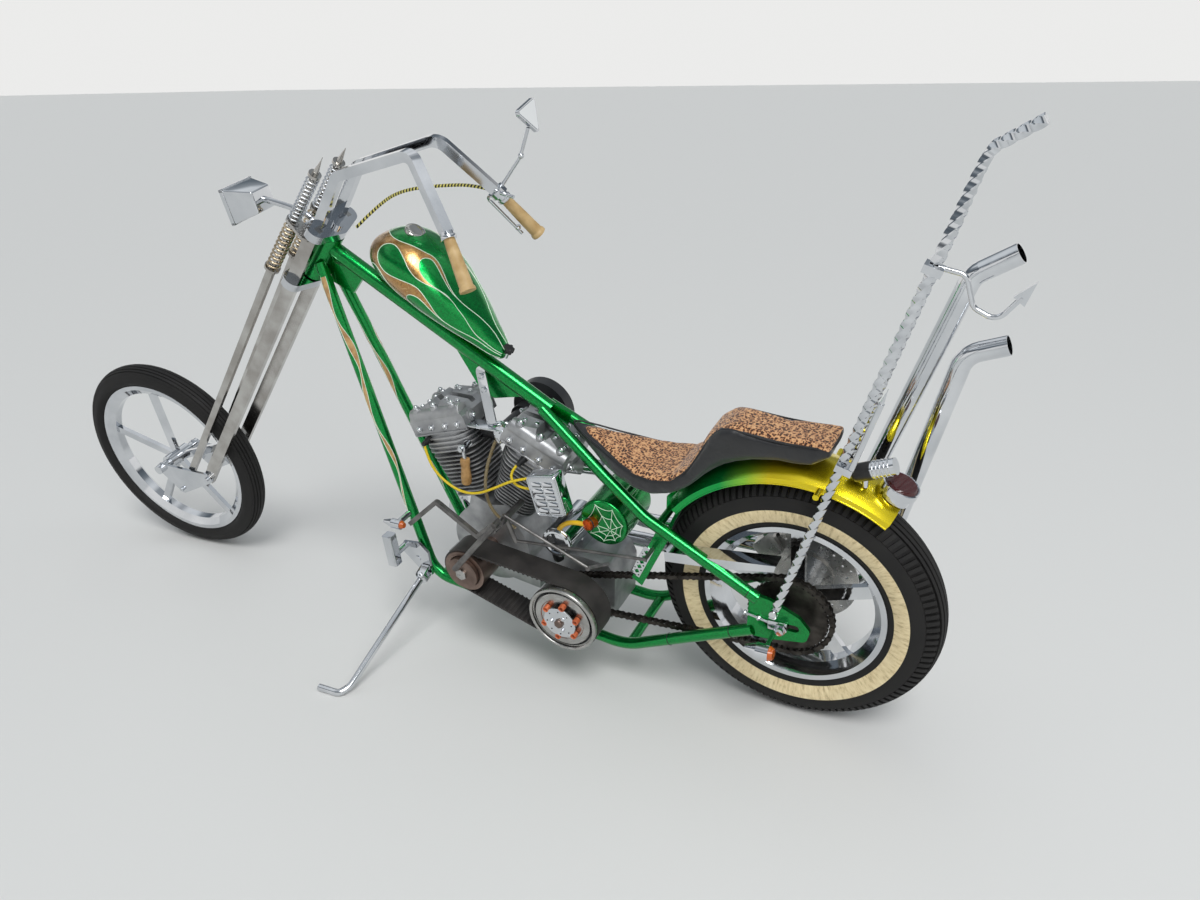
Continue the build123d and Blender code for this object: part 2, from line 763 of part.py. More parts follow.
with BuildPart() as fork_trees:
    for base in (lower_tree_top - tree_thickness, upper_tree_base):
        with BuildSketch(fork.offset(base)):
            with Locations((0, 0), (rear_leg_top_offset, leg_spacing), (rear_leg_top_offset, -leg_spacing)):
                Circle(28)
            make_hull()
        extrude(amount=tree_thickness)
    with BuildSketch(fork.offset(lower_tree_top - tree_thickness)):
        Circle(stem_radius)
    extrude(amount=neck_length + 2 * tree_gap + 2 * tree_thickness + 10)
    add(fork_legs.part, mode=Mode.SUBTRACT)

with BuildPart() as fork_front_legs:
    for side in (1, -1):
        top = fork_point(front_leg_top_offset, side * spring_spacing, -40)
        leg(
            top,
            fork_point(front_leg_foot_offset, side * leg_spacing, -front_leg_foot_drop - 12),
            front_leg_depth,
            rear_leg_width,
        )
        disc(top, fork.z_dir, 8, spring_top + 40)
        disc(top - fork.z_dir * 4, fork.z_dir, lower_spring_radius + 2, 8)
        with BuildSketch(fork.offset(spring_top)):
            with Locations((front_leg_top_offset, side * spring_spacing)):
                Circle(upper_spring_radius - 1)
        extrude(amount=8)
        with BuildSketch(fork.offset(spring_top + 8)) as foot:
            with Locations((front_leg_top_offset, side * spring_spacing)):
                Circle(8)
        with BuildSketch(fork.offset(spring_top + 8 + spike_length)) as tip:
            with Locations((front_leg_top_offset, side * spring_spacing)):
                Circle(1)
        loft([foot.sketch.face(), tip.sketch.face()])
    add(fork_rockers.part, mode=Mode.SUBTRACT)


def coil(side, base, top, coils, radius):
    pitch = (top - base) / coils
    ridge = []
    for turn in range(coils):
        ridge.append((radius, base + pitch * (turn + 0.25)))
        ridge.append((radius, base + pitch * (turn + 0.5)))
        if turn < coils - 1:
            ridge.append((radius - 6, base + pitch * (turn + 0.75)))
            ridge.append((radius - 6, base + pitch * (turn + 1)))
    centre = fork_point(front_leg_top_offset, side * spring_spacing, 0)
    with BuildSketch(Plane(origin=centre, x_dir=fork.x_dir, z_dir=(0, -1, 0))) as section:
        with BuildLine():
            Polyline((8, base), (radius - 6, base), *ridge, (radius - 6, top), (8, top), close=True)
        make_face()
    revolve(section.sketch, axis=Axis(centre, fork.z_dir))


with BuildPart() as fork_lower_springs:
    for side in (1, -1):
        coil(side, -36, spring_bracket_height, lower_spring_coils, lower_spring_radius)

with BuildPart() as fork_upper_springs:
    for side in (1, -1):
        coil(side, spring_bracket_height + 8, spring_top, upper_spring_coils, upper_spring_radius)

# Headlamp: a box that tapers to the rear, on a stem from the lower springs' bracket
lamp_front = Vector(1500, 0, 1242)
lamp_axis = Vector(1, 0, -0.1).normalized()
lamp_front_plane = Plane(origin=lamp_front, x_dir=(0, 1, 0), z_dir=lamp_axis)
with BuildPart() as headlamp:
    with BuildSketch(lamp_front_plane):
        Rectangle(150, 108)
    with BuildSketch(lamp_front_plane.offset(-112)):
        Rectangle(72, 62)
    loft()
    with BuildSketch(lamp_front_plane):
        Rectangle(150, 108)
    extrude(amount=12)
    with BuildSketch(lamp_front_plane.offset(4)):
        Rectangle(138, 96)
    extrude(amount=10, mode=Mode.SUBTRACT)
    bar([fork_point(60, 0, 136), lamp_front - lamp_axis * 100], [], 9)
    with BuildSketch(fork.offset(spring_bracket_height + 1)):
        with Locations((58, 0)):
            Rectangle(16, 2 * (leg_spacing - 18))
    extrude(amount=6)
    add(fork_legs.part, mode=Mode.SUBTRACT)
    add(fork_trees.part, mode=Mode.SUBTRACT)

with BuildPart() as headlamp_lens:
    with BuildSketch(lamp_front_plane.offset(4)):
        Rectangle(138, 96)
    extrude(amount=6)

# Handlebar: a square tube each side, up from the top tree, back, then down and out to the grip
bar_width = 25.0
bar_route = [(25, 42, upper_tree_top), (37, 42, 335), (-97, 57, 535), (-279, 129, 487)]
grip_end = (-378, 170, 450)
with BuildPart() as handlebar:
    for side in (1, -1):
        points = [fork_point(forward, side * left, up) for forward, left, up in bar_route]
        square_bar(points, [26, 34], bar_width, bar_width)
        start = fork_point(bar_route[-1][0], side * bar_route[-1][1], bar_route[-1][2])
        end = fork_point(grip_end[0], side * grip_end[1], grip_end[2])
        disc(start - (end - start).normalized() * 4, (end - start).normalized(), 16.5, 16)
    add(fork_legs.part, mode=Mode.SUBTRACT)
    add(fork_trees.part, mode=Mode.SUBTRACT)

with BuildPart() as grips:
    for side in (1, -1):
        start = fork_point(bar_route[-1][0], side * bar_route[-1][1], bar_route[-1][2])
        end = fork_point(grip_end[0], side * grip_end[1], grip_end[2])
        along = (end - start).normalized()
        level = along.cross(Vector(0, 0, 1)).normalized()
        grip_plane = Plane(origin=start + along * 12, x_dir=level, z_dir=along)
        profile_plane = Plane(origin=grip_plane.origin, x_dir=grip_plane.x_dir, z_dir=grip_plane.y_dir * -1)
        with BuildSketch(profile_plane):
            with BuildLine():
                Line((0, 0), (13, 0))
                ThreePointArc((13, 0), (15.5, 60), (16.5, 112))
                Line((16.5, 112), (19.5, 118))
                Line((19.5, 118), (19.5, 124))
                Line((19.5, 124), (0, 124))
                Line((0, 124), (0, 0))
            make_face()
        revolve(axis=Axis(grip_plane.origin, along))

# Right hand: clamp, lever and mirror on a bent stem
with BuildPart() as hand_controls:
    start = fork_point(*[bar_route[-1][0], -bar_route[-1][1], bar_route[-1][2]])
    end = fork_point(grip_end[0], -grip_end[1], grip_end[2])
    along = (end - start).normalized()
    disc(start - along * 22, along, 22, 16)
    across = (Vector(1, 0, 0) - along * Vector(1, 0, 0).dot(along)).normalized()
    lever_base = start - along * 14
    lever_knuckle = lever_base + across * 44
    bar([lever_base, lever_knuckle, lever_knuckle + along * 130], 12, 4.5)
    stem_top = start - along * 14 + fork.z_dir * 118
    bar([start - along * 14, stem_top], [], 4.5)
    bar([stem_top - fork.z_dir * 3, stem_top + Vector(-24, -10, 62)], [], 4.5)
    with BuildSketch(Plane(origin=stem_top + Vector(-18, -14, 84), x_dir=(0, 1, 0), z_dir=(-1, 0, 0.15))):
        with BuildLine():
            Polyline((-52, -34), (48, -22), (-30, 48), close=True)
        make_face()
        fillet(vertices(), 8)
    extrude(amount=9)
    add(handlebar.part, mode=Mode.SUBTRACT)

# Rear guard over the tyre, bolted at the front to a cross tube between the seat rails
guard_turn = math.radians(fender_rear_angle)
guard_direction = (math.sin(guard_turn), 0, -math.cos(guard_turn))
guard_section = Plane(origin=rear_axle, x_dir=(0, 1, 0), z_dir=guard_direction)
guard_shoulder = fender_edge_radius + 14
guard_inside = fender_half_width - fender_wall
with BuildPart() as rear_fender:
    with BuildSketch(guard_section):
        with BuildLine():
            ThreePointArc(
                (-fender_half_width, guard_shoulder),
                (0, fender_crown_radius),
                (fender_half_width, guard_shoulder),
            )
            Polyline(
                (fender_half_width, guard_shoulder),
                (fender_half_width, fender_edge_radius),
                (guard_inside, fender_edge_radius),
                (guard_inside, guard_shoulder - fender_wall),
            )
            ThreePointArc(
                (guard_inside, guard_shoulder - fender_wall),
                (0, fender_crown_radius - fender_wall),
                (-guard_inside, guard_shoulder - fender_wall),
            )
            Polyline(
                (-guard_inside, guard_shoulder - fender_wall),
                (-guard_inside, fender_edge_radius),
                (-fender_half_width, fender_edge_radius),
                (-fender_half_width, guard_shoulder),
            )
        make_face()
    revolve(axis=Axis(rear_axle, (0, 1, 0)), revolution_arc=fender_rear_angle - fender_front_angle)
    for side in (1, -1):
        disc(Vector(-64, side * (fender_half_width - 1), 698), (0, side, 0), 7, 31)
    with BuildSketch(side_plane((0, 0, 0))):
        with BuildLine():
            Polyline((310, 528), (326, 528), (322, 572), (302, 594), (292, 586), (306, 564), close=True)
        make_face()
    extrude(amount=24, both=True)
    add(frame_cross_tubes.part, mode=Mode.SUBTRACT)

# Sissy bar: two square legs that meet at the top and bend back, with a rod hooked on the left leg
sissy_route = [(22, 135, 372), (-87, 112, 700), (-265, 88, 1234), (-322, 8, 1404), (-407, 8, 1456)]
with BuildPart() as sissy_bar:
    for side in (1, -1):
        square_bar(
            [(x, side * y, z) for x, y, z in sissy_route], [400, 70, 24], sissy_bar_width, sissy_bar_width
        )
    for side in (1, -1):
        disc(Vector(15, side * 138, 393), (0, side, 0), 7, 11)
    add(rear_fender.part, mode=Mode.SUBTRACT)
    for tube in frame_tubes:
        add(tube.part, mode=Mode.SUBTRACT)

with BuildPart() as sissy_hook:
    bar(
        [
            (-262, 89, 1221),
            (-318, 89, 1209),
            (-334, 89, 1150),
            (-376, 89, 1128),
            (-412, 89, 1176),
        ],
        [20, 22, 24],
        5,
    )
    with BuildSketch(side_plane((0, 89, 0))):
        with BuildLine():
            Polyline((-418, 1160), (-398, 1176), (-434, 1206), close=True)
        make_face()
    extrude(amount=3.5, both=True)
    bar([(-140, 124, 792), (-190, 122, 944)], [], 6)
    with BuildSketch(Plane(origin=(-190, 122, 944), z_dir=(-50, -2, 152))) as foot:
        Circle(6)
    with BuildSketch(foot.workplanes[0].offset(34)) as tip:
        Circle(0.8)
    loft([foot.sketch.face(), tip.sketch.face()])
    for x, y, z in ((-122, 113, 792), (-258, 90, 1218)):
        with BuildSketch(Plane(origin=(x, y, z), x_dir=(0, 1, 0), z_dir=(-0.333, 0, 1))):
            with Locations((3, 4)):
                Rectangle(30, 36)
        extrude(amount=8, both=True)
    add(sissy_bar.part, mode=Mode.SUBTRACT)

# Tail lamp: a round dish on the crown of the guard, lens up and back, with a bullet lamp beside it
tail_lamp_radius = 41.0
tail_lens_centre = Vector(-220, 0, 700)
tail_axis = Vector(-0.4, 0, 0.92).normalized()
bullet_front = Vector(-130, 30, 730)
bullet_axis = Vector(-82, 0, 33).normalized()
with BuildPart() as tail_lamp:
    disc(tail_lens_centre - tail_axis * 44, tail_axis, tail_lamp_radius - 6, 30)
    disc(tail_lens_centre - tail_axis * 16, tail_axis, tail_lamp_radius, 16)
    with BuildSketch(Plane(origin=tail_lens_centre, z_dir=tail_axis)):
        Circle(tail_lamp_radius - 4)
    extrude(amount=-8, mode=Mode.SUBTRACT)
    disc(bullet_front, bullet_axis, 19, 88)
    disc(Vector(-150, 30, 700), (0, 0, 1), 7, 30)
    with BuildSketch(side_plane(rear_axle)):
        Circle(fender_crown_radius - fender_wall / 2)
    extrude(amount=100, both=True, mode=Mode.SUBTRACT)
    add(rear_fender.part, mode=Mode.SUBTRACT)

with BuildPart() as tail_lens:
    with BuildSketch(Plane(origin=tail_lens_centre - tail_axis * 8, z_dir=tail_axis)):
        Circle(tail_lamp_radius - 4)
    extrude(amount=10)
    with BuildSketch(Plane(origin=tail_lens_centre + tail_axis * 2, z_dir=tail_axis)):
        Circle(tail_lamp_radius - 4)
    extrude(amount=6, taper=40)

# Turn signals: round bullets under the axle plates and ahead of the engine
# each row: x of the lens seat, y on the left, y on the right, z, radius, length
signal_places = [(14, 178, -228, 300, 20, 60), (1074, 150, -150, 396, 14, 60)]
with BuildPart() as turn_signals:
    for x, left, right, z, radius, length in signal_places:
        for y in (left, right):
            disc(Vector(x, y, z), (1, 0, 0), radius, length * 0.5)
            with BuildSketch(Plane(origin=(x + length * 0.5, y, z), z_dir=(1, 0, 0))) as back:
                Circle(radius)
            with BuildSketch(Plane(origin=(x + length, y, z), z_dir=(1, 0, 0))) as nose:
                Circle(radius * 0.35)
            loft([back.sketch.face(), nose.sketch.face()])
    disc(Vector(26, 127, 302), (0, 1, 0), 6, 40)
    disc(Vector(26, -127, 300), (0, -1, 0), 6, 90)
    for side in (1, -1):
        disc(Vector(1090, side * 82, 396), (0, side, 0), 9, 60)
    for tube in frame_tubes:
        add(tube.part, mode=Mode.SUBTRACT)

with BuildPart() as signal_lenses:
    for x, left, right, z, radius, length in signal_places:
        for y in (left, right):
            with BuildSketch(Plane(origin=(x, y, z), z_dir=(-1, 0, 0))):
                Circle(radius - 2)
            extrude(amount=10, taper=25)

# Exhaust: two pipes down the right side, one over the other, swept up at the back
front_pipe_route = [
    port_face(front_port),
    tuple(front_port[1]),
    (1022, exhaust_y, 470),
    (1012, exhaust_y, 265),
    (-127, exhaust_y, 265),
    (-299, exhaust_y, 936),
    (-383, exhaust_y, 967),
]
rear_pipe_route = [
    port_face(rear_port),
    tuple(rear_port[1]),
    (556, exhaust_y, 450),
    (545, exhaust_y, 335),
    (-23, exhaust_y, 335),
    (-297, exhaust_y, 1111),
    (-383, exhaust_y, 1164),
]
with BuildPart() as exhaust_front:
    bar(front_pipe_route, [40, 80, 90, 110, 60], exhaust_radius, exhaust_radius - exhaust_wall)

with BuildPart() as exhaust_rear:
    bar(rear_pipe_route, [40, 80, 70, 150, 60], exhaust_radius, exhaust_radius - exhaust_wall)

# Oil tank between the seat rails, with its cap
oil_tank_place = Vector(oil_tank_x, 0, oil_tank_z)
with BuildPart() as oil_tank:
    with BuildSketch(side_plane(oil_tank_place)):
        Circle(oil_tank_radius)
    extrude(amount=oil_tank_half_width, both=True)
    fillet(edges().filter_by(GeomType.CIRCLE), 9)
    with BuildSketch(side_plane((0, 0, 0))):
        with BuildLine():
            Polyline((398, 579), (420, 579), (462, 540), (430, 520), close=True)
        make_face()
    extrude(amount=18, both=True)
    add(frame_cross_tubes.part, mode=Mode.SUBTRACT)

with BuildPart() as oil_cap:
    disc(oil_tank_place + Vector(26, oil_tank_half_width - 4, -2), (0.3, 1, 0.1), 15, 30)
    add(oil_tank.part, mode=Mode.SUBTRACT)

with BuildPart() as starter_motor:
    disc(Vector(599, -40, 425), (0, 1, 0), 42, 152)
    fillet(edges().filter_by(GeomType.CIRCLE), 8)
    with BuildSketch(side_plane((0, 0, 0))):
        with BuildLine():
            Polyline((570, 346), (626, 346), (632, 410), (566, 410), close=True)
        make_face()
    extrude(amount=34, both=True)
    add(gearbox.part, mode=Mode.SUBTRACT)

with BuildPart() as coil_cover:
    with BuildSketch(side_plane((592, 0, 586), -10).offset(-coil_cover_face_y)):
        RectangleRounded(86, 114, 8)
    extrude(amount=44)
    with BuildSketch(side_plane((592, 0, 586), -10).offset(1 - coil_cover_face_y)) as louvres:
        with GridLocations(louvre_width + 8, louvre_pitch, 2, louvre_rows):
            Rectangle(louvre_width, louvre_height)
    extrude(louvres.sketch, amount=-4)
    disc(Vector(606, 60, 600), (0, 1, 0), 9, 42)
    add(engine_heads.part, mode=Mode.SUBTRACT)

# Spark plug leads, and the stay from the heads to the frame with its polished cap
lead_radius = 3.5
front_lead_route = [
    (626, 126, 624),
    (690, 128, 606),
    (755, 124, 566),
    (820, 118, 530),
    (880, 112, 522),
    (940, 106, 548),
    (972, 103, 592),
    (982, 96, 640),
]
rear_lead_route = [(626, 124, 588), (664, 125, 583), (700, 119, 588), (712, 108, 612), (692, 96, 634)]


def cord_radii(points):
    # the largest bend at each corner that leaves its two runs a short straight middle
    radii = []
    for before, here, after in zip(points, points[1:], points[2:]):
        arriving = Vector(*here) - Vector(*before)
        leaving = Vector(*after) - Vector(*here)
        half_turn = math.radians(arriving.get_angle(leaving) / 2)
        radii.append(0.45 * min(arriving.length, leaving.length) / math.tan(half_turn))
    return radii


with BuildPart() as plug_leads:
    for route in (front_lead_route, rear_lead_route):
        radii = cord_radii(route)
        bar(route, radii, lead_radius)
        print("plug lead bend radii", [round(radius) for radius in radii])
    disc(Vector(982, 70, 640), (0, 1, 0), 8, 28)
    disc(Vector(690, 70, 634), (0, 1, 0), 8, 28)
    add(engine_heads.part, mode=Mode.SUBTRACT)
    add(coil_cover.part, mode=Mode.SUBTRACT)

with BuildPart() as head_stay:
    bar([(826, 0, 790), (806, 12, 735), (760, 44, 700)], 20, 9)
    disc(Vector(763, 40, 701), (0, 1, 0), 30, 24)
    add(frame_backbone.part, mode=Mode.SUBTRACT)
    add(engine_heads.part, mode=Mode.SUBTRACT)

# Fuel tank: oval sections across the backbone
# each row: distance back, height above the tube, half height, half width
tank_base = Plane(origin=(1240, 0, 1135), x_dir=(0, -1, 0), z_dir=(-0.842, 0, -0.539))
tank_sections = [
    (128, 100, 25, 30),
    (170, 112, 62, 75),
    (250, 122, 78, 103),
    (340, 110, 68, 100),
    (440, 85, 45, 70),
    (520, 62, 25, 38),
    (552, 55, 12, 16),
]
with BuildPart() as fuel_tank:
    for back, height, half_height, half_width in tank_sections:
        with BuildSketch(tank_base.offset(back)):
            with Locations((0, height)):
                Ellipse(half_width, half_height)
    loft()
    for back in (210, 430):
        with BuildSketch(tank_base.offset(back)):
            with Locations((0, 36)):
                Rectangle(44, 50)
        extrude(amount=14, both=True)
    add(frame_backbone.part, mode=Mode.SUBTRACT)

with BuildPart() as fuel_fittings:
    disc(Vector(850, 57, 1067) - Vector(-0.42, 0.44, 0.79) * 8, (-0.42, 0.44, 0.79), 24, 14)
    disc(Vector(748, 0, 880), (-0.5, 0, 0.84), 8, 22)
    disc(Vector(739, 0, 896), (-0.5, 0, 0.84), 12, 16)
    add(fuel_tank.part, mode=Mode.SUBTRACT)

# Seat: a low saddle that steps up to a pad on the guard
# outlines by x and z for the top and underside, by x and half width for the plan
seat_top = [
    (575, 735),
    (480, 700),
    (380, 668),
    (300, 668),
    (240, 700),
    (190, 790),
    (150, 815),
    (40, 800),
    (-90, 800),
]
seat_under = [
    (-90, 772),
    (-60, 736),
    (60, 736),
    (150, 705),
    (230, 660),
    (300, 600),
    (400, 604),
    (500, 655),
    (575, 715),
]
seat_plan = [(578, 14), (480, 62), (380, 104), (300, 112), (220, 92), (170, 76), (40, 74), (-96, 66)]
with BuildPart() as seat:
    with BuildSketch(side_plane((0, 0, 0))):
        with BuildLine():
            Polyline(*seat_top, *seat_under, close=True)
        make_face()
    extrude(amount=120, both=True)
    with BuildSketch(Plane.XY.offset(500)):
        with BuildLine():
            Polyline(*seat_plan, *[(x, -y) for x, y in reversed(seat_plan)], close=True)
        make_face()
    extrude(amount=400, mode=Mode.INTERSECT)
    add(rear_fender.part, mode=Mode.SUBTRACT)
    for tube in frame_tubes:
        add(tube.part, mode=Mode.SUBTRACT)
    add(frame_backbone.part, mode=Mode.SUBTRACT)

# Flat strut under each seat rail and a tongue up to the guard, then the chain guard and brake caliper
with BuildPart() as seat_strut:
    for side in (1, -1):
        with BuildSketch(side_plane((0, side * 102, 0))):
            with BuildLine():
                Polyline((368, 346), (394, 366), (312, 534), (280, 520), close=True)
            make_face()
        extrude(amount=3, both=True)
    for tube in frame_tubes:
        add(tube.part, mode=Mode.SUBTRACT)

with BuildPart() as chain_guard:
    with BuildSketch(side_plane((0, 112, 0))):
        with BuildLine():
            Polyline((296, 446), (296, 474), (178, 484), (20, 502), (24, 484), (170, 458), close=True)
        make_face()
    extrude(amount=2, both=True)
    with BuildSketch(side_plane((0, 93, 0))):
        with BuildLine():
            Polyline((296, 470), (296, 474), (178, 484), (20, 502), (20, 498), (178, 480), close=True)
        make_face()
    extrude(amount=21, both=True)
    for tube in frame_tubes:
        add(tube.part, mode=Mode.SUBTRACT)

with BuildPart() as rear_brake_caliper:
    with BuildSketch(side_plane((0, brake_disc_y - 2.5, rear_tyre_radius))):
        with BuildLine():
            Polyline((56, 66), (104, 30), (140, 66), (92, 118), close=True)
        make_face()
        fillet(vertices(), 10)
    extrude(amount=24, both=True)
    with BuildSketch(side_plane((0, brake_disc_y - 2.5, rear_tyre_radius))):
        Circle(brake_disc_radius + caliper_gap)
    extrude(amount=brake_disc_thickness / 2 + caliper_gap, both=True, mode=Mode.SUBTRACT)
    bar([(70, -112, 420), (96, -100, 434)], [], 8)
    for tube in frame_tubes:
        add(tube.part, mode=Mode.SUBTRACT)

# Forward foot controls: a plate on each down tube with a folding peg
with BuildPart() as foot_controls:
    for side in (1, -1):
        with BuildSketch(side_plane((0, side * 116, 0))):
            with BuildLine():
                plate_corners = [(1121, 281), (1110, 312), (1056, 318), (1030, 290), (1030, 214), (1052, 206)]
                Polyline(*plate_corners, close=True)
            make_face()
        extrude(amount=4, both=True)
        bar([(1070, side * 90, 262), (1070, side * 122, 262)], [], 9)
        disc(Vector(1106, side * 116, 300), (0, side, 0), 10, 40)
        with BuildSketch(Plane(origin=(1112, side * 168, 268), z_dir=(0, 0, 1))):
            RectangleRounded(30, 30, 5)
        extrude(amount=98)
    for tube in frame_tubes:
        add(tube.part, mode=Mode.SUBTRACT)

# Shift linkage outside the belt: shaft, square arms, thin rods
with BuildPart() as shift_linkage:
    disc(Vector(717, 72, 500), (0, 1, 0), 9, 140)
    square_bar([(987, 205, 457), (884, 205, 547), (762, 205, 461)], 8, 12, 12)
    square_bar([(766, 205, 466), (697, 205, 526)], [], 14, 22)
    bar([(854, 222, 354), (702, 222, 524)], [], 8)
    disc(Vector(702, 205, 524), (0, 1, 0), 8, 20)
    bar([(697, 180, 530), (474, 180, 428)], [], 4)
    bar([(697, 180, 530), (717, 180, 500)], [], 7)
    bar([(474, 180, 424), (488, 56, 346)], [], 6)
    bar([(717, 150, 500), (697, 150, 430)], [], 7)
    bar([(697, 150, 434), (326, 150, 468)], [], 4)
    disc(Vector(330, 105, 468), (0, 1, 0), 5, 48)
    add(engine_cylinders.part, mode=Mode.SUBTRACT)
    add(gearbox.part, mode=Mode.SUBTRACT)
    add(oil_tank.part, mode=Mode.SUBTRACT)

# Where the parked machine stands: both tyres on the ground, the frame leaned to the left
lean = math.radians(lean_angle)
steer_turn = Location((0, 0, 0), fork.z_dir, steer_angle)
steering_place = Location(fork.origin) * steer_turn * Location(fork.origin).inverse()
turned_axle = (steering_place * Location(front_axle)).position
turned_spin = Vector(0, 1, 0).rotate(Axis((0, 0, 0), fork.z_dir), steer_angle)
upright = Vector(0, math.sin(lean), math.cos(lean))
front_lean_sine = abs(upright.dot(turned_spin))
front_lean_cosine = math.sqrt(1 - front_lean_sine**2)
rear_height = (rear_tyre_radius - rear_tyre_half_width) * math.cos(lean) + rear_tyre_half_width
front_height = (front_tyre_radius - front_tyre_half_width) * front_lean_cosine + front_tyre_half_width
leaned_front = turned_axle.rotate(Axis((0, 0, 0), (1, 0, 0)), -lean_angle)
leaned_rear = rear_axle.rotate(Axis((0, 0, 0), (1, 0, 0)), -lean_angle)
rise = (leaned_front.Z - leaned_rear.Z) - (front_height - rear_height)
pitch_angle = math.degrees(math.asin(rise / (leaned_front.X - leaned_rear.X)))
leaning = Location((0, 0, 0), (0, 1, 0), pitch_angle) * Location((0, 0, 0), (1, 0, 0), -lean_angle)
sunk_rear = (leaning * Location(rear_axle)).position
parking = Location((0, 0, rear_height - sunk_rear.Z)) * leaning


def from_ground(x, y, z):
    return (parking.inverse() * Location((x, y, z))).position


# Side stand: an eye on a pin in a clevis on the left tube, a leg straight out and a foot along the ground
stand_pivot = Vector(1046, 145, 222)
stand_knee = from_ground(1062, 492, stand_radius + 8)
stand_axis = Vector(1, 0, 0).cross(stand_knee - stand_pivot).normalized()
stand_route = [
    stand_pivot,
    stand_knee,
    from_ground(1076, 520, stand_radius),
    from_ground(1142, 522, stand_radius),
]
with BuildPart() as side_stand:
    bar(stand_route, [40, 18], stand_radius)
    disc(stand_pivot - stand_axis * 9, stand_axis, 14, 18)
    with BuildSketch(Plane(origin=stand_pivot - stand_axis * 20, z_dir=stand_axis)):
        Circle(6 + running_clearance)
    extrude(amount=40, mode=Mode.SUBTRACT)

with BuildPart() as stand_bracket:
    for step in (10, -16):
        base = stand_pivot + stand_axis * step
        with BuildSketch(Plane(origin=base, x_dir=(1, 0, 0), z_dir=stand_axis)):
            Circle(13)
            with Locations((0, -15)):
                Rectangle(26, 30)
        extrude(amount=6)
    disc(stand_pivot - stand_axis * 20, stand_axis, 6, 40)
    add(foot_controls.part, mode=Mode.SUBTRACT)
    for tube in frame_tubes:
        add(tube.part, mode=Mode.SUBTRACT)

with BuildPart() as pegs_and_stand_bracket:
    add(foot_controls.part)
    add(stand_bracket.part)

# Throttle cable, from the right grip to the neck
cable_radius = 4.0
cable_route = [
    fork_point(-272, -112, 500),
    fork_point(-215, -116, 470),
    fork_point(-140, -110, 400),
    fork_point(-70, -80, 330),
    fork_point(-46, -54, 262),
    fork_point(-30, -44, upper_tree_top + 0.2),
]
with BuildPart() as cable_blank:
    cable_radii = cord_radii(cable_route)
    bar(cable_route, cable_radii, cable_radius)
    print("throttle cable bend radii", [round(radius) for radius in cable_radii])
    add(hand_controls.part, mode=Mode.SUBTRACT)
    add(handlebar.part, mode=Mode.SUBTRACT)

with BuildPart() as throttle_cable:
    add(cable_blank.part.solids().sort_by(SortBy.VOLUME)[-1])

root_pieces = {
    "frame_backbone": frame_backbone,
    "frame_seat_rail_left": frame_seat_rail_left,
    "frame_seat_rail_right": frame_seat_rail_right,
    "frame_cradle_left": frame_cradle_left,
    "frame_cradle_right": frame_cradle_right,
    "frame_cross_tubes": frame_cross_tubes,
    "seat_strut": seat_strut,
    "engine_crankcase": engine_crankcase,
    "engine_cylinders": engine_cylinders,
    "engine_heads": heads_with_ports,
    "engine_pushrods": engine_pushrods,
    "engine_carburettor": engine_carburettor,
    "gearbox": gearbox,
    "front_pulley": front_pulley,
    "clutch": clutch,
    "primary_belt": primary_belt,
    "drive_chain": drive_chain,
    "chain_guard": chain_guard,
    "rear_axle_bolt": rear_axle_bolt,
    "rear_brake_caliper": rear_brake_caliper,
    "starter_motor": starter_motor,
    "coil_cover": coil_cover,
    "plug_leads": plug_leads,
    "head_stay": head_stay,
    "oil_tank": oil_tank,
    "oil_cap": oil_cap,
    "exhaust_front": exhaust_front,
    "exhaust_rear": exhaust_rear,
    "fuel_tank": fuel_tank,
    "fuel_fittings": fuel_fittings,
    "seat": seat,
    "rear_fender": rear_fender,
    "tail_lamp": tail_lamp,
    "tail_lens": tail_lens,
    "turn_signals": turn_signals,
    "signal_lenses": signal_lenses,
    "sissy_bar": sissy_bar,
    "sissy_hook": sissy_hook,
    "foot_controls": pegs_and_stand_bracket,
    "shift_linkage": shift_linkage,
    "side_stand": side_stand,
    "rear_tyre": rear_tyre,
    "rear_wheel": rear_wheel,
    "rear_sprocket": rear_sprocket,
    "rear_brake_disc": rear_brake_disc,
}
steered_pieces = {
    "fork_trees": fork_trees,
    "fork_legs": fork_legs,
    "fork_front_legs": fork_front_legs,
    "fork_rockers": fork_rockers,
    "fork_lower_springs": fork_lower_springs,
    "fork_upper_springs": fork_upper_springs,
    "front_axle_bolt": front_axle_bolt,
    "headlamp": headlamp,
    "headlamp_lens": headlamp_lens,
    "handlebar": handlebar,
    "grips": grips,
    "hand_controls": hand_controls,
    "throttle_cable": throttle_cable,
    "front_tyre": front_tyre,
    "front_wheel": front_wheel,
}

os.makedirs("parts", exist_ok=True)
parked = {}
for name, piece in root_pieces.items():
    parked[name] = piece.part.moved(parking)
for name, piece in steered_pieces.items():
    parked[name] = piece.part.moved(parking * steering_place)

boxes = [shape.bounding_box() for shape in parked.values()]
middle_x = (min(box.min.X for box in boxes) + max(box.max.X for box in boxes)) / 2
middle_y = (min(box.min.Y for box in boxes) + max(box.max.Y for box in boxes)) / 2
centring = Location((-middle_x, -middle_y, -min(box.min.Z for box in boxes)))
for name, shape in parked.items():
    part = shape.moved(centring)
    part.label = name
    export_step(part, "parts/" + name + ".step")
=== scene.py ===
import json
import math
import bpy
from mathutils import Matrix, Vector


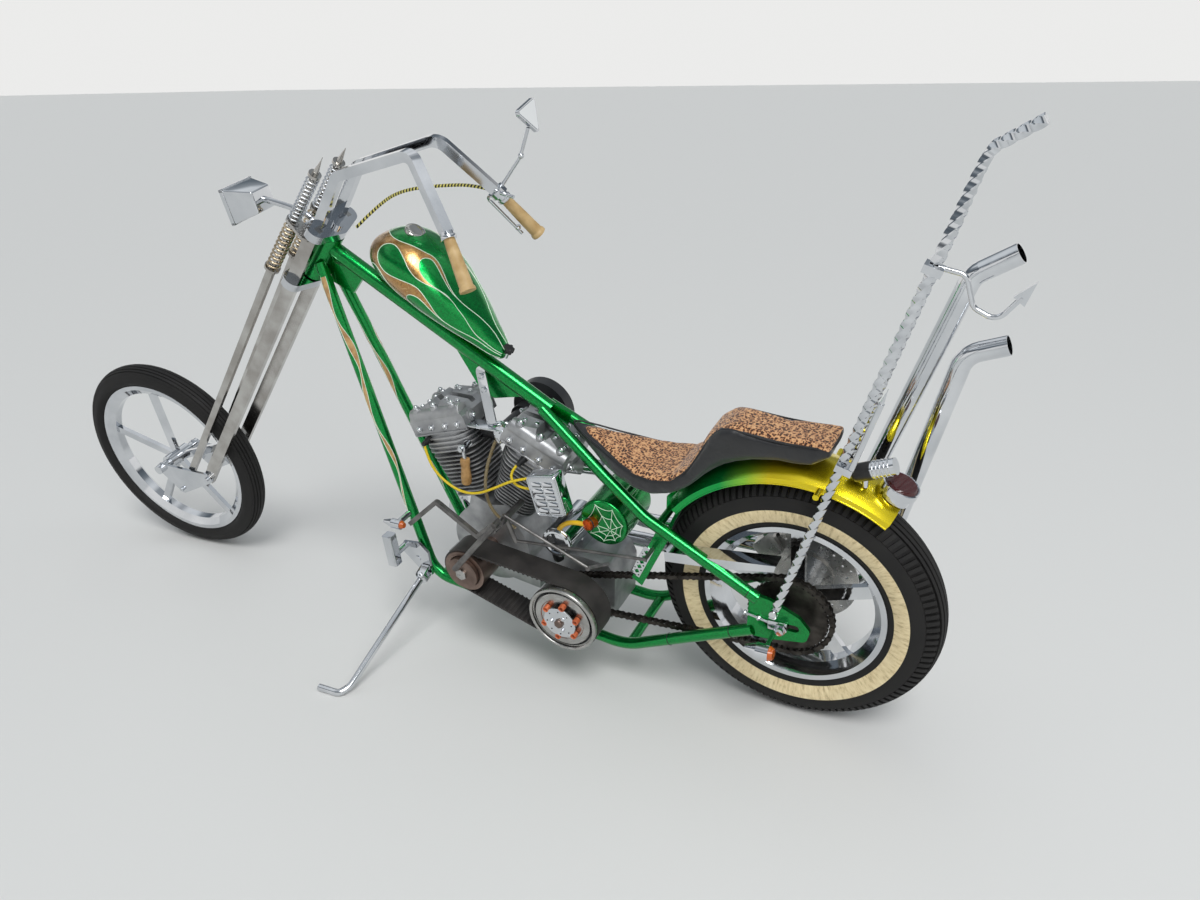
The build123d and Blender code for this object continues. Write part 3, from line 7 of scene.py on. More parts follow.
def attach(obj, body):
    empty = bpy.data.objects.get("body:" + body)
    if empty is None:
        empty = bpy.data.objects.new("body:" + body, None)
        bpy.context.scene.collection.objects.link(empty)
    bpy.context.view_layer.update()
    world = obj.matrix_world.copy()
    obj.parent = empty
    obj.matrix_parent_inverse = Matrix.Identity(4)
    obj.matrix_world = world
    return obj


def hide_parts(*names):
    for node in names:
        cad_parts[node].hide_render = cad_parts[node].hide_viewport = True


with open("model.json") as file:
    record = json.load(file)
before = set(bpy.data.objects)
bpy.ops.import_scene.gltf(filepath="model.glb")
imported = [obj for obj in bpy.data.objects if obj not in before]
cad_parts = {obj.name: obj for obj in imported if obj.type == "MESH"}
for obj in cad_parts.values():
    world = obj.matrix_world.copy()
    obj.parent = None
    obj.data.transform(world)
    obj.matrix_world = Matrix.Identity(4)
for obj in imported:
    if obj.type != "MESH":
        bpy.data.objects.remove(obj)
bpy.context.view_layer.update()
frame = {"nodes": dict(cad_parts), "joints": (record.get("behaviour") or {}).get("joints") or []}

nodes = frame["nodes"]
joints = {joint["name"]: joint for joint in frame["joints"]}
bpy.ops.object.select_all(action="DESELECT")

# The machine is modelled upright: x forward from the rear axle, y left, z up, in millimetres.
# parkedPlace leans it onto its stand, steeredPlace turns the fork as well.
stance = {
    "lean": 9.8,
    "pitch": -0.1048,
    "steer": 4.4,
    "rake": 42.0,
    "neck": (1320, 0, 1052),
    "rearAxle": (0, 0, 345),
}


def mm(x, y, z):
    return Vector((x, y, z)) / 1000


rakeSine = math.sin(math.radians(stance["rake"]))
rakeCosine = math.cos(math.radians(stance["rake"]))
neckPlace = mm(*stance["neck"])
rearAxle = mm(*stance["rearAxle"])
leanTurn = Matrix.Rotation(-math.radians(stance["lean"]), 4, "X")
parkedTurn = Matrix.Rotation(math.radians(stance["pitch"]), 4, "Y") @ leanTurn
rearSpin = Vector(joints["rear_wheel_spin"]["pos_m"])
parkedPlace = Matrix.Translation(rearSpin - parkedTurn @ rearAxle) @ parkedTurn
steerTurn = Matrix.Rotation(math.radians(stance["steer"]), 4, Vector((-rakeSine, 0, rakeCosine)))
steeredPlace = parkedPlace @ Matrix.Translation(neckPlace) @ steerTurn @ Matrix.Translation(-neckPlace)
frontAxle = steeredPlace.inverted() @ Vector(joints["front_wheel_spin"]["pos_m"])
print("front axle, upright", [round(v * 1000, 1) for v in frontAxle])


def forkPoint(forward, left, up):
    # forward and up are across and along the steering axis
    return neckPlace + mm(forward * rakeCosine - up * rakeSine, left, forward * rakeSine + up * rakeCosine)


# Finishes
made = {}


def linear(hexColour):
    values = [int(hexColour[i : i + 2], 16) / 255 for i in (1, 3, 5)]
    return [v / 12.92 if v <= 0.04045 else ((v + 0.055) / 1.055) ** 2.4 for v in values] + [1]


def addNode(tree, kind, settings={}, links={}):
    node = tree.nodes.new("ShaderNode" + kind)
    for key, value in settings.items():
        if key == "stops":
            while len(node.color_ramp.elements) < len(value):
                node.color_ramp.elements.new(1)
            for element, (position, colour) in zip(node.color_ramp.elements, value):
                element.position = position
                element.color = linear(colour) if isinstance(colour, str) else [colour] * 3 + [1]
        elif isinstance(key, int) or key in node.inputs:
            node.inputs[key].default_value = linear(value) if isinstance(value, str) else value
        else:
            setattr(node, key, value)
    for key, socket in links.items():
        tree.links.new(socket, node.inputs[key])
    return node


def newFinish(name, settings):
    # keeps the new finish, and gives its nodes, its shader and the object's coordinates
    finish = bpy.data.materials.new(name)
    finish.use_nodes = True
    tree = finish.node_tree
    shader = tree.nodes["Principled BSDF"]
    for key, value in settings.items():
        shader.inputs[key].default_value = linear(value) if isinstance(value, str) else value
    made[name] = finish
    return tree, shader, addNode(tree, "TexCoord").outputs["Object"]


finishes = {
    # name: shader settings, two colours, patch scale, roughness range, grain scale (1 / m), grain depth (m)
    "chromePlate": ({"Metallic": 1.0}, ("#dfe1e4", "#c9ccd0"), 9, (0.04, 0.1), 400, 0.00002),
    "oldChromePlate": ({"Metallic": 1.0}, ("#c8c6c2", "#a9a5a0"), 14, (0.1, 0.2), 700, 0.00005),
    "sandCastAluminium": ({"Metallic": 0.85}, ("#b4b5b6", "#97989a"), 22, (0.36, 0.5), 900, 0.0002),
    "castFinAluminium": ({"Metallic": 0.75}, ("#a2a3a4", "#7e7f81"), 30, (0.42, 0.56), 900, 0.0002),
    "turnedAluminium": ({"Metallic": 1.0}, ("#b9b8b5", "#a3a29f"), 30, (0.22, 0.34), 1200, 0.00005),
    "plainSteel": ({"Metallic": 0.9}, ("#83817f", "#605e5d"), 25, (0.3, 0.42), 800, 0.0001),
    "oiledChainSteel": ({"Metallic": 0.9}, ("#4a4642", "#2c2926"), 40, (0.35, 0.5), 900, 0.0001),
    "agedSpringPlate": ({"Metallic": 1.0}, ("#d9c9ae", "#b8a78c"), 25, (0.14, 0.24), 600, 0.00004),
    "anodisedBronze": ({"Metallic": 0.9}, ("#8d7a70", "#6b5b53"), 20, (0.3, 0.42), 900, 0.00005),
    "blackTyreRubber": ({"Specular IOR Level": 0.35}, ("#131212", "#1d1c1b"), 18, (0.62, 0.78), 900, 0.0002),
    "toothedBeltRubber": ({"Specular IOR Level": 0.4}, ("#2a2827", "#383533"), 25, (0.5, 0.65), 900, 0.0001),
    "mouldedBlackPlastic": ({}, ("#131313", "#1d1d1d"), 20, (0.35, 0.5), 900, 0.0001),
    # satin black for black parts, and also for pieces that paint the shade in a groove, slots, holes, louvre mouths
    # and axle sockets
    "satinBlackAndPaintedShade": ({}, ("#17181a", "#222326"), 20, (0.35, 0.5), 900, 0.00005),
    "agedTanRubber": ({}, ("#c4a878", "#a98a58"), 30, (0.45, 0.6), 700, 0.0001),
    "orangeAnodised": ({"Metallic": 0.85}, ("#e2662a", "#c9521d"), 30, (0.22, 0.34), 900, 0.00004),
    "orangePlating": ({"Metallic": 0.3}, ("#d8754a", "#b95c35"), 40, (0.4, 0.5), 900, 0.00005),
    "turnedWood": ({}, ("#b78f5c", "#8a6638"), 60, (0.4, 0.55), 500, 0.0001),
    "clearHose": ({"Transmission Weight": 0.5}, ("#8a7a58", "#a3936f"), 30, (0.15, 0.25), 500, 0.00005),
    "yellowHose": ({"Coat Weight": 0.3}, ("#e3b81c", "#c99a12"), 30, (0.3, 0.4), 600, 0.00005),
    "silveredGlass": ({"Metallic": 1.0}, ("#eef1f3", "#e6eaed"), 4, (0.0, 0.03), 400, 0.000001),
    "goldLeafFlame": (
        {"Metallic": 0.5, "Coat Weight": 1.0, "Coat Roughness": 0.03}, ("#a87a48", "#cda76c"), 55, (0.3, 0.4), 900,
        0.00002,
    ),
    "redTape": ({}, ("#c22a2a", "#a31e1e"), 30, (0.4, 0.5), 700, 0.00005),
    "palePinstripe": (
        {"Coat Weight": 1.0, "Coat Roughness": 0.03}, ("#e3efdf", "#cfe3cf"), 60, (0.3, 0.36), 900, 0.00002,
    ),
}
for name, (settings, colours, patchScale, roughness, grainScale, grainDepth) in finishes.items():
    # two colours in soft patches, a little change of roughness, and a fine relief
    tree, shader, where = newFinish(name, settings)
    patches = addNode(tree, "TexNoise", {"Scale": patchScale, "Detail": 6}, {"Vector": where})
    toneStops = [(0.35, colours[0]), (0.65, colours[1])]
    tone = addNode(tree, "ValToRGB", {"stops": toneStops}, {0: patches.outputs["Fac"]})
    tree.links.new(tone.outputs["Color"], shader.inputs["Base Color"])
    sheenRange = {1: 0.3, 2: 0.7, 3: roughness[0], 4: roughness[1]}
    sheen = addNode(tree, "MapRange", sheenRange, {0: patches.outputs["Fac"]})
    tree.links.new(sheen.outputs[0], shader.inputs["Roughness"])
    grain = addNode(tree, "TexNoise", {"Scale": grainScale, "Detail": 3}, {"Vector": where})
    relief = addNode(tree, "Bump", {"Strength": 0.5, "Distance": grainDepth}, {"Height": grain.outputs["Fac"]})
    tree.links.new(relief.outputs["Normal"], shader.inputs["Normal"])

# Candy lacquer: green dye over metal flake under thick clear coat, so it glows where light falls
# and is deep elsewhere. Its light and deep colours are the green's lit and shaded tones, and each flake is painted at
# random between them: painted glints and painted shade.
candy = {
    "light": "#00a448", "deep": "#007030", "lime": "#8fcf3a", "yellow": "#e8d21a",
    "flakeSize": 0.0016, "fadeFrom": 165, "fadeTo": 50,
    "shader": {"Metallic": 0.92, "Roughness": 0.26, "Coat Weight": 0.5, "Coat Roughness": 0.02},
}


def candyPaint(name):
    tree, shader, where = newFinish(name, candy["shader"])
    flake = addNode(tree, "TexVoronoi", {"Scale": 1 / candy["flakeSize"]}, {"Vector": where})
    glint = addNode(tree, "SeparateColor", {}, {0: flake.outputs["Color"]})
    # each flake is painted between the shaded green and the lit green: painted glints and shade
    paint = addNode(tree, "ValToRGB", {"stops": [(0.0, candy["deep"]), (1.0, candy["light"])]}, {0: glint.outputs[0]})
    tree.links.new(paint.outputs["Color"], shader.inputs["Base Color"])
    tilt = addNode(tree, "Bump", {"Strength": 0.12, "Distance": 0.0002}, {"Height": glint.outputs[1]})
    tree.links.new(tilt.outputs["Normal"], shader.inputs["Normal"])
    return tree, shader, where, paint


candyPaint("candyGreen")

# The guard fades from green at its front to yellow over the crown
tree, shader, where, paint = candyPaint("candyFade")
along = addNode(tree, "SeparateXYZ", {}, {0: where})
fadeStart, fadeEnd = [(parkedPlace @ mm(x, 60, 720)).x for x in (candy["fadeFrom"], candy["fadeTo"])]
fadeRange = addNode(tree, "MapRange", {1: fadeStart, 2: fadeEnd, 3: 0.0, 4: 1.0}, {0: along.outputs[0]})
fadeStops = [(0.0, candy["light"]), (0.5, candy["lime"]), (1.0, candy["yellow"])]
fade = addNode(tree, "ValToRGB", {"stops": fadeStops}, {0: fadeRange.outputs[0]})
tree.links.new(fade.outputs["Color"], shader.inputs["Base Color"])

# Lenses, each with moulded prisms about 5 mm apart
lenses = {
    "clearLampGlass": {"Base Color": "#f4f6f8", "Transmission Weight": 1.0, "Roughness": 0.04, "IOR": 1.5},
    "darkRedLens": {"Base Color": "#3d0709", "Roughness": 0.15, "Coat Weight": 0.4, "IOR": 1.49},
    "amberLens": {
        "Base Color": "#d9681c", "Roughness": 0.15, "Transmission Weight": 0.3, "Coat Weight": 0.5, "IOR": 1.49,
    },
}
for name, settings in lenses.items():
    tree, shader, where = newFinish(name, settings)
    flutes = addNode(tree, "TexWave", {"Scale": 60.0, "bands_direction": "Z"}, {"Vector": where})
    relief = addNode(tree, "Bump", {"Strength": 0.35, "Distance": 0.001}, {"Height": flutes.outputs["Fac"]})
    tree.links.new(relief.outputs["Normal"], shader.inputs["Normal"])

# Braided cords: the UV map runs in metres along the cord and in turns around it
braids = {
    # name: stripe pitch in metres, share of the second colour, colours
    "yellowLeadBraid": (0.0032, 0.22, "#e8cb22", "#8f7712"),
    "blackYellowBraid": (0.0092, 0.52, "#e9df7c", "#15140f"),
}
for name, (pitch, share, light, dark) in braids.items():
    tree, shader, where = newFinish(name, {"Roughness": 0.5})
    run = addNode(tree, "SeparateXYZ", {}, {0: addNode(tree, "UVMap").outputs[0]})
    spiralSettings = {"operation": "MULTIPLY_ADD", 1: 1 / pitch}
    spiral = addNode(tree, "Math", spiralSettings, {0: run.outputs[0], 2: run.outputs[1]})
    turn = addNode(tree, "Math", {"operation": "FRACT"}, {0: spiral.outputs[0]})
    stripe = addNode(tree, "MapRange", {1: share - 0.08, 2: share + 0.08}, {0: turn.outputs[0]})
    braidTone = addNode(tree, "ValToRGB", {"stops": [(0.0, dark), (1.0, light)]}, {0: stripe.outputs[0]})
    tree.links.new(braidTone.outputs["Color"], shader.inputs["Base Color"])
    strand = addNode(tree, "Bump", {"Strength": 0.6, "Distance": 0.0006}, {"Height": turn.outputs[0]})
    tree.links.new(strand.outputs["Normal"], shader.inputs["Normal"])

cadFinishes = {
    "candyGreen": (
        "frame_backbone frame_seat_rail_left frame_seat_rail_right frame_cradle_left frame_cradle_right "
        "frame_cross_tubes seat_strut oil_tank fuel_tank"
    ),
    "candyFade": "rear_fender",
    "chromePlate": (
        "fork_trees fork_rockers fork_upper_springs front_axle_bolt rear_axle_bolt headlamp handlebar sissy_bar "
        "sissy_hook exhaust_front exhaust_rear chain_guard coil_cover head_stay fuel_fittings tail_lamp "
        "turn_signals foot_controls hand_controls side_stand starter_motor rear_wheel front_wheel"
    ),
    "oldChromePlate": "fork_legs fork_front_legs",
    "sandCastAluminium": "engine_crankcase gearbox engine_heads",
    "castFinAluminium": "engine_cylinders",
    "turnedAluminium": "engine_pushrods clutch rear_brake_disc rear_brake_caliper",
    "anodisedBronze": "front_pulley",
    "plainSteel": "shift_linkage",
    "oiledChainSteel": "drive_chain rear_sprocket",
    "agedSpringPlate": "fork_lower_springs",
    "blackTyreRubber": "rear_tyre front_tyre",
    "toothedBeltRubber": "primary_belt",
    "agedTanRubber": "grips",
    "satinBlackAndPaintedShade": "engine_carburettor seat",
    "yellowLeadBraid": "plug_leads throttle_cable",
    "clearLampGlass": "headlamp_lens",
    "darkRedLens": "tail_lens",
    "amberLens": "signal_lenses",
    "orangeAnodised": "oil_cap",
}
for finishName, names in cadFinishes.items():
    for name in names.split():
        slots = nodes[name].data.materials
        slots.clear()
        slots.append(made[finishName])
print("finishes on", sum(len(names.split()) for names in cadFinishes.values()), "CAD pieces")


# Shared steps of modelling
def startPiece(kind, **settings):
    bpy.ops.object.select_all(action="DESELECT")
    getattr(bpy.ops.mesh, "primitive_" + kind + "_add")(**settings)
    return bpy.context.object


def pieceFrom(points, faces, edges=()):
    bpy.ops.object.select_all(action="DESELECT")
    mesh = bpy.data.meshes.new("piece")
    mesh.from_pydata([tuple(p) for p in points], list(edges), faces)
    piece = bpy.data.objects.new("piece", mesh)
    bpy.context.collection.objects.link(piece)
    piece.select_set(True)
    bpy.context.view_layer.objects.active = piece
    return piece


def lofted(rows):
    # a closed skin over rows of points, with a flat cap at each end
    count = len(rows[0])
    faces = []
    for row in range(len(rows) - 1):
        near, far = row * count, (row + 1) * count
        for k in range(count):
            step = (k + 1) % count
            faces.append((near + k, near + step, far + step, far + k))
    faces.append(tuple(range(count)))
    faces.append(tuple((len(rows) - 1) * count + k for k in reversed(range(count))))
    piece = pieceFrom([point for row in rows for point in row], faces)
    bpy.ops.object.mode_set(mode="EDIT")
    bpy.ops.mesh.select_all(action="SELECT")
    bpy.ops.mesh.normals_make_consistent(inside=False)
    bpy.ops.object.mode_set(mode="OBJECT")
    return piece


def join(pieces):
    bpy.ops.object.select_all(action="DESELECT")
    for piece in pieces:
        piece.select_set(True)
    bpy.context.view_layer.objects.active = pieces[0]
    if len(pieces) > 1:
        bpy.ops.object.join()
    return bpy.context.object


def setDown(piece, place=None):
    # the piece's place goes into its mesh, which may then move on to another place
    bpy.context.view_layer.update()
    piece.data.transform(piece.matrix_world)
    piece.matrix_world = Matrix.Identity(4)
    if place:
        piece.data.transform(place)
    return piece


def copiesAt(piece, places):
    # one copy of the piece at each place, joined; the first shape is used up
    setDown(piece)
    copies = []
    for place in places:
        copy = bpy.data.objects.new("piece", piece.data.copy())
        copy.data.transform(place)
        bpy.context.collection.objects.link(copy)
        copies.append(copy)
    bpy.data.objects.remove(piece)
    return join(copies)


def aimed(place, direction, spin=0.0):
    turn = Vector(direction).to_track_quat("Z", "Y").to_matrix().to_4x4()
    return Matrix.Translation(place) @ turn @ Matrix.Rotation(spin, 4, "Z")


def ringOf(centre, axis, count, radius, start=0.0):
    # places around a circle, each turned with it
    middle, out = aimed(centre, axis), Matrix.Translation((radius, 0, 0))
    return [middle @ Matrix.Rotation(start + 2 * math.pi * k / count, 4, "Z") @ out for k in range(count)]


def turned(profile, steps=64):
    # spins a line of (radius, height) points in millimetres about Z
    points = [mm(r, 0, z) for r, z in profile]
    piece = pieceFrom(points, [], [(k, k + 1) for k in range(len(points) - 1)])
    bpy.ops.object.mode_set(mode="EDIT")
    bpy.ops.mesh.select_all(action="SELECT")
    bpy.ops.mesh.spin(steps=steps, angle=2 * math.pi, center=(0, 0, 0), axis=(0, 0, 1))
    bpy.ops.mesh.select_all(action="SELECT")
    bpy.ops.mesh.remove_doubles(threshold=0.00005)
    bpy.ops.mesh.normals_make_consistent(inside=False)
    bpy.ops.object.mode_set(mode="OBJECT")
    return piece


def softened(piece, width, segments=2, angle=40):
    bevel = piece.modifiers.new("softened", "BEVEL")
    bevel.width = width / 1000
    bevel.segments = segments
    bevel.limit_method = "ANGLE"
    bevel.angle_limit = math.radians(angle)
    bpy.context.view_layer.objects.active = piece
    bpy.ops.object.modifier_apply(modifier=bevel.name)
    return piece


def smoothed(piece, angle=35):
    bpy.ops.object.select_all(action="DESELECT")
    piece.select_set(True)
    bpy.context.view_layer.objects.active = piece
    bpy.ops.object.shade_smooth_by_angle(angle=math.radians(angle))
    return piece


def rod(points, radius, order=3, resolution=12, sides=4, cyclic=False, tilts=None, section=None):
    # a round rod along a smooth curve, or one of the section's shape, as a mesh
    shape = bpy.data.curves.new("rod", "CURVE")
    shape.dimensions = "3D"
    spline = shape.splines.new("NURBS")
    spline.points.add(len(points) - 1)
    for k, point in enumerate(points):
        spline.points[k].co = (*point, 1)
        if tilts:
            spline.points[k].tilt = tilts[k]
    spline.order_u = order
    spline.use_endpoint_u = not cyclic
    spline.use_cyclic_u = cyclic
    spline.resolution_u = resolution
    if section:
        shape.bevel_mode = "OBJECT"
        shape.bevel_object = section
    else:
        shape.bevel_depth = radius / 1000
        shape.bevel_resolution = sides
    shape.use_fill_caps = True
    piece = bpy.data.objects.new("rod", shape)
    bpy.context.collection.objects.link(piece)
    bpy.ops.object.select_all(action="DESELECT")
    piece.select_set(True)
    bpy.context.view_layer.objects.active = piece
    bpy.ops.object.convert(target="MESH")
    return bpy.context.object


def pegAt(start, direction, radius, length, sides=32, soft=0):
    # a round or many-sided peg from its start along a direction
    piece = startPiece("cylinder", vertices=sides, radius=radius / 1000, depth=length / 1000)
    piece.data.transform(aimed(start + Vector(direction).normalized() * length / 2000, direction))
    return softened(piece, soft) if soft else piece


def block(centre, size, soft, segments=2):
    # a box with rounded edges, in millimetres
    return softened(setDown(startPiece("cube", size=1, location=mm(*centre), scale=mm(*size))), soft, segments)


def settle(piece, name, finish, body="frame", hides=(), angle=35):
    # smooths the piece, parks it with the machine and hands it to its body
    smoothed(piece, angle)
    setDown(piece, steeredPlace if body in ("steering", "front_wheel") else parkedPlace)
    piece.name = name
    piece.data.name = name
    if finish:
        piece.data.materials.clear()
        piece.data.materials.append(made[finish])
    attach(piece, body)
    if hides:
        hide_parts(*hides)
    return piece


# Tyres: each band runs from and to, across from the middle, at its height over the tread line
tyres = {
    "rear": {
        "outer": 345, "halfWidth": 63, "rim": 222, "bead": 46, "whitewall": (241, 277),
        "bands": [
            (0, 7, 0), (7, 10, -5), (10, 20, 0), (20, 23, -5), (23, 31, 0), (31, 36, -6), (36, 57, -5.5),
            (57, 62, -1.5),
        ],
        "bars": {"from": 36, "to": 57, "count": 112, "halfWidth": 5.2, "sweep": 5, "depth": 7, "fall": 1.5},
    },
    "front": {
        "outer": 342, "halfWidth": 41, "rim": 281, "bead": 24, "whitewall": None,
        "bands": [
            (0, 6, 0), (6, 8.5, -3.5), (8.5, 16, 0), (16, 18.5, -3.5), (18.5, 25, 0), (25, 27, -3), (27, 34, 0),
            (34, 40.5, -1),
        ],
        "bars": None,
    },
}


def tyreSection(size):
    # (radius, height along the axle) from the left bead over the tread to the right bead
    crown = size["outer"] - size["halfWidth"]
    side = [(size["rim"] - 8, size["bead"]), (size["rim"] + 1, size["bead"])]
    for step in range(1, 9):
        share = step / 8
        across = size["bead"] + (size["halfWidth"] - size["bead"]) * math.sin(share * math.pi / 2) ** 0.8
        side.append((size["rim"] + 1 + (crown - size["rim"] - 1) * share, across))
    tread = []
    for inner, outer, height in reversed(size["bands"]):
        for across in (outer - 0.4, inner + 0.4):
            angle = math.acos(across / size["halfWidth"])
            reach = size["halfWidth"] + height
            tread.append((crown + reach * math.sin(angle), reach * math.cos(angle)))
    half = side + tread
    return half + [(r, -z) for r, z in reversed(half)]


def tyreBars(size, side):
    # one shoulder bar of the tread, swept back towards its outer end
    bars = size["bars"]
    crown = size["outer"] - size["halfWidth"]
    rows = []
    for share in (0, 0.34, 0.67, 1):
        angle = math.acos((bars["from"] + (bars["to"] - bars["from"]) * share) / size["halfWidth"])
        row = []
        for along, depth in ((-1, 0), (1, 0), (1, bars["depth"]), (-1, bars["depth"])):
            reach = size["halfWidth"] - depth - bars["fall"] * share
            forward = along * bars["halfWidth"] + bars["sweep"] * share
            row.append(mm(crown + reach * math.sin(angle), forward, side * reach * math.cos(angle)))
        rows.append(row)
    return lofted(rows)


def makeTyre(kind, centre, body):
    size = tyres[kind]
    wheelPlace = aimed(centre, (0, 1, 0))
    carcass = setDown(turned(tyreSection(size), 144), wheelPlace)
    carcass.data.materials.append(made["blackTyreRubber"])
    if size["whitewall"]:
        carcass.data.materials.append(made["whitewallRubber"])
        low, high = [v / 1000 for v in size["whitewall"]]
        for face in carcass.data.polygons:
            offset = face.center - centre
            across = abs(offset.y)
            offset.y = 0
            if low < offset.length < high and across > 0.04:
                face.material_index = 1
    parts = [carcass]
    if size["bars"]:
        for side in (1, -1):
            count = size["bars"]["count"]
            places = [wheelPlace @ Matrix.Rotation(2 * math.pi * k / count, 4, "Z") for k in range(count)]
            bars = copiesAt(tyreBars(size, side), places)
            bars.data.materials.append(made["blackTyreRubber"])
            parts.append(bars)
    settle(join(parts), kind + "TyreTread", None, body, hides=(kind + "_tyre",), angle=50)


# Whitewall rubber: cream, yellowed with age, with brush marks and grime running out from the rim
tree, shader, where = newFinish("whitewallRubber", {"Roughness": 0.6, "Specular IOR Level": 0.35})
fromAxle = addNode(tree, "VectorMath", {"operation": "SUBTRACT", 1: tuple(rearSpin)}, {0: where})
forward, upward = [
    addNode(
        tree, "VectorMath", {"operation": "DOT_PRODUCT", 1: tuple(parkedTurn @ Vector(axis))}, {0: fromAxle.outputs[0]}
    )
    for axis in ((1, 0, 0), (0, 0, 1))
]
bearing = addNode(
    tree, "Math", {"operation": "ARCTAN2"}, {0: forward.outputs["Value"], 1: upward.outputs["Value"]}
)
reach = addNode(tree, "VectorMath", {"operation": "LENGTH"}, {0: fromAxle.outputs[0]})
polar = addNode(tree, "CombineXYZ", {}, {0: bearing.outputs[0], 1: reach.outputs["Value"]})
# marks about 9 mm apart
streaks = addNode(tree, "TexNoise", {"Scale": 30.0, "Detail": 6, "Roughness": 0.7}, {"Vector": polar.outputs[0]})
creamStops = [(0.3, "#a08e6c"), (0.47, "#d8c69c"), (0.7, "#ebdcb6")]
cream = addNode(tree, "ValToRGB", {"stops": creamStops}, {0: streaks.outputs["Fac"]})
tree.links.new(cream.outputs["Color"], shader.inputs["Base Color"])

makeTyre("rear", rearAxle, "rear_wheel")
makeTyre("front", frontAxle, "front_wheel")
print("tyres")


# Fuel tank, drawn from smooth sections so that its paint lines lie exactly on it
# each section: distance back, height over the tube, half height, half width
# each flame line on the left side: distance back and degrees up from level, out to the tail
tank = {
    "sections": [
        (124, 98, 10, 12), (128, 99, 25, 30), (145, 104, 44, 54), (170, 112, 62, 75), (205, 119, 73, 94),
        (250, 122, 78, 103), (295, 118, 75, 104), (340, 110, 68, 98), (390, 98, 57, 85), (440, 85, 45, 68),
        (482, 73, 34, 51), (520, 62, 25, 37), (545, 56, 16, 22), (552, 55, 8, 10),
    ],
    "base": (1240, 0, 1135),
    "back": (-0.842, 0, -0.539),
    "around": 128,
    "crown": [
        (150, 92), (157, 74), (178, 60), (205, 57), (238, 61), (271, 66), (292, 71), (312, 71), (334, 67), (361, 60),
        (388, 56), (412, 57), (436, 62), (463, 70), (493, 77), (514, 77), (532, 72), (546, 66),
    ],
    "drop": [
        (546, 30), (532, 26), (508, 24), (481, 22), (460, 28), (436, 37), (412, 41), (390, 44), (355, 40), (325, 32),
        (298, 28), (271, 31), (247, 38), (217, 46), (196, 46), (180, 38), (175, 26), (180, 13), (196, 2), (226, -3),
        (262, 4), (298, 14), (322, 16), (352, 9), (378, -2), (402, -8), (430, -6), (455, 0), (481, 7), (505, 11),
        (529, 13), (546, 14),
    ],
    "innerDrop": [
        (412, 57), (385, 55), (367, 56), (343, 60), (316, 65), (298, 66), (284, 60), (281, 51), (290, 43), (306, 38),
        (330, 37), (352, 40), (373, 44), (390, 44),
    ],
    "lowDrop": [
        (402, -8), (385, -7), (362, -3), (340, 1), (322, 1), (305, -5), (297, -15), (300, -26), (315, -34), (340, -38),
        (365, -38), (392, -37),
    ],
    "belly": [
        (546, -18), (530, -21), (500, -25), (470, -28), (445, -31), (420, -34), (392, -37), (365, -44), (330, -50),
        (300, -50), (271, -43), (247, -33), (225, -21), (205, -12), (185, -10), (168, -18), (166, -34), (178, -50),
        (205, -60), (245, -66), (290, -70), (335, -76), (375, -84), (400, -91),
    ],
    "stripe": 0.95,
}
tankBack = Vector(tank["back"]).normalized()
tankUp = Vector((-0.539, 0, 0.842)).normalized()


def throughPoints(points, steps):
    # a smooth line through given points
    line = []
    for k in range(len(points) - 1):
        a, b, c, d = [Vector(points[min(max(k + offset, 0), len(points) - 1)]) for offset in (-1, 0, 1, 2)]
        for step in range(steps):
            share = step / steps
            bend, swing = (2 * a - 5 * b + 4 * c - d) * share**2, (3 * b - a - 3 * c + d) * share**3
            line.append((2 * b + (c - a) * share + bend + swing) / 2)
    line.append(Vector(points[-1]))
    return line


tankRows = throughPoints(tank["sections"], 8)


def tankPoint(row, angle, lift=0.0):
    back, height, halfHeight, halfWidth = row
    rise = height + (halfHeight + lift) * math.sin(angle)
    return mm(*tank["base"]) + tankBack * back / 1000 + tankUp * rise / 1000 + mm(
        0, (halfWidth + lift) * math.cos(angle), 0,
    )


def tankRowAt(back):
    for nearer, further in zip(tankRows, tankRows[1:]):
        if further[0] >= back:
            return nearer.lerp(further, (back - nearer[0]) / (further[0] - nearer[0]))
    return tankRows[-1]


# the green fields between the gold tongues, each closed at the tail or over the top
crown, drop, belly = tank["crown"], tank["drop"], tank["belly"]
greenFields = [
    crown + [(560, 60), (560, 130), (150, 130)],
    drop + [(560, 14), (560, 30)],
    [p for p in reversed(crown) if p[0] > 412] + tank["innerDrop"] + [
        p
        for p in reversed(drop[:8])
        if p[0] > 390
    ] + [(560, 30), (560, 66)],
    [p for p in reversed(drop[25:]) if p[0] > 402] + tank["lowDrop"] + [
        p
        for p in reversed(belly[:7])
        if p[0] > 392
    ] + [(560, -18), (560, 14)],
    belly + [(560, -130), (560, -18)],
]
greenLoops = [throughPoints(field + field[:1], 3) for field in greenFields]


def goldReach(back, angle, perDegree):
    # how far the place is inside the gold, in millimetres; negative on the green
    nearest, inGreen = 99.0, False
    for loop in greenLoops:
        crossings = 0
        for a, b in zip(loop, loop[1:]):
            if (a[1] > angle) != (b[1] > angle) and back < a[0] + (b[0] - a[0]) * (angle - a[1]) / (b[1] - a[1]):
                crossings += 1
            if abs(a[0] - back) > 30:
                continue
            along, across = b[0] - a[0], (b[1] - a[1]) * perDegree
            toX, toY = back - a[0], (angle - a[1]) * perDegree
            share = min(max((toX * along + toY * across) / max(along * along + across * across, 1e-6), 0), 1)
            nearest = min(nearest, math.hypot(toX - share * along, toY - share * across))
        inGreen = inGreen or crossings % 2 == 1
    return -nearest if inGreen else nearest


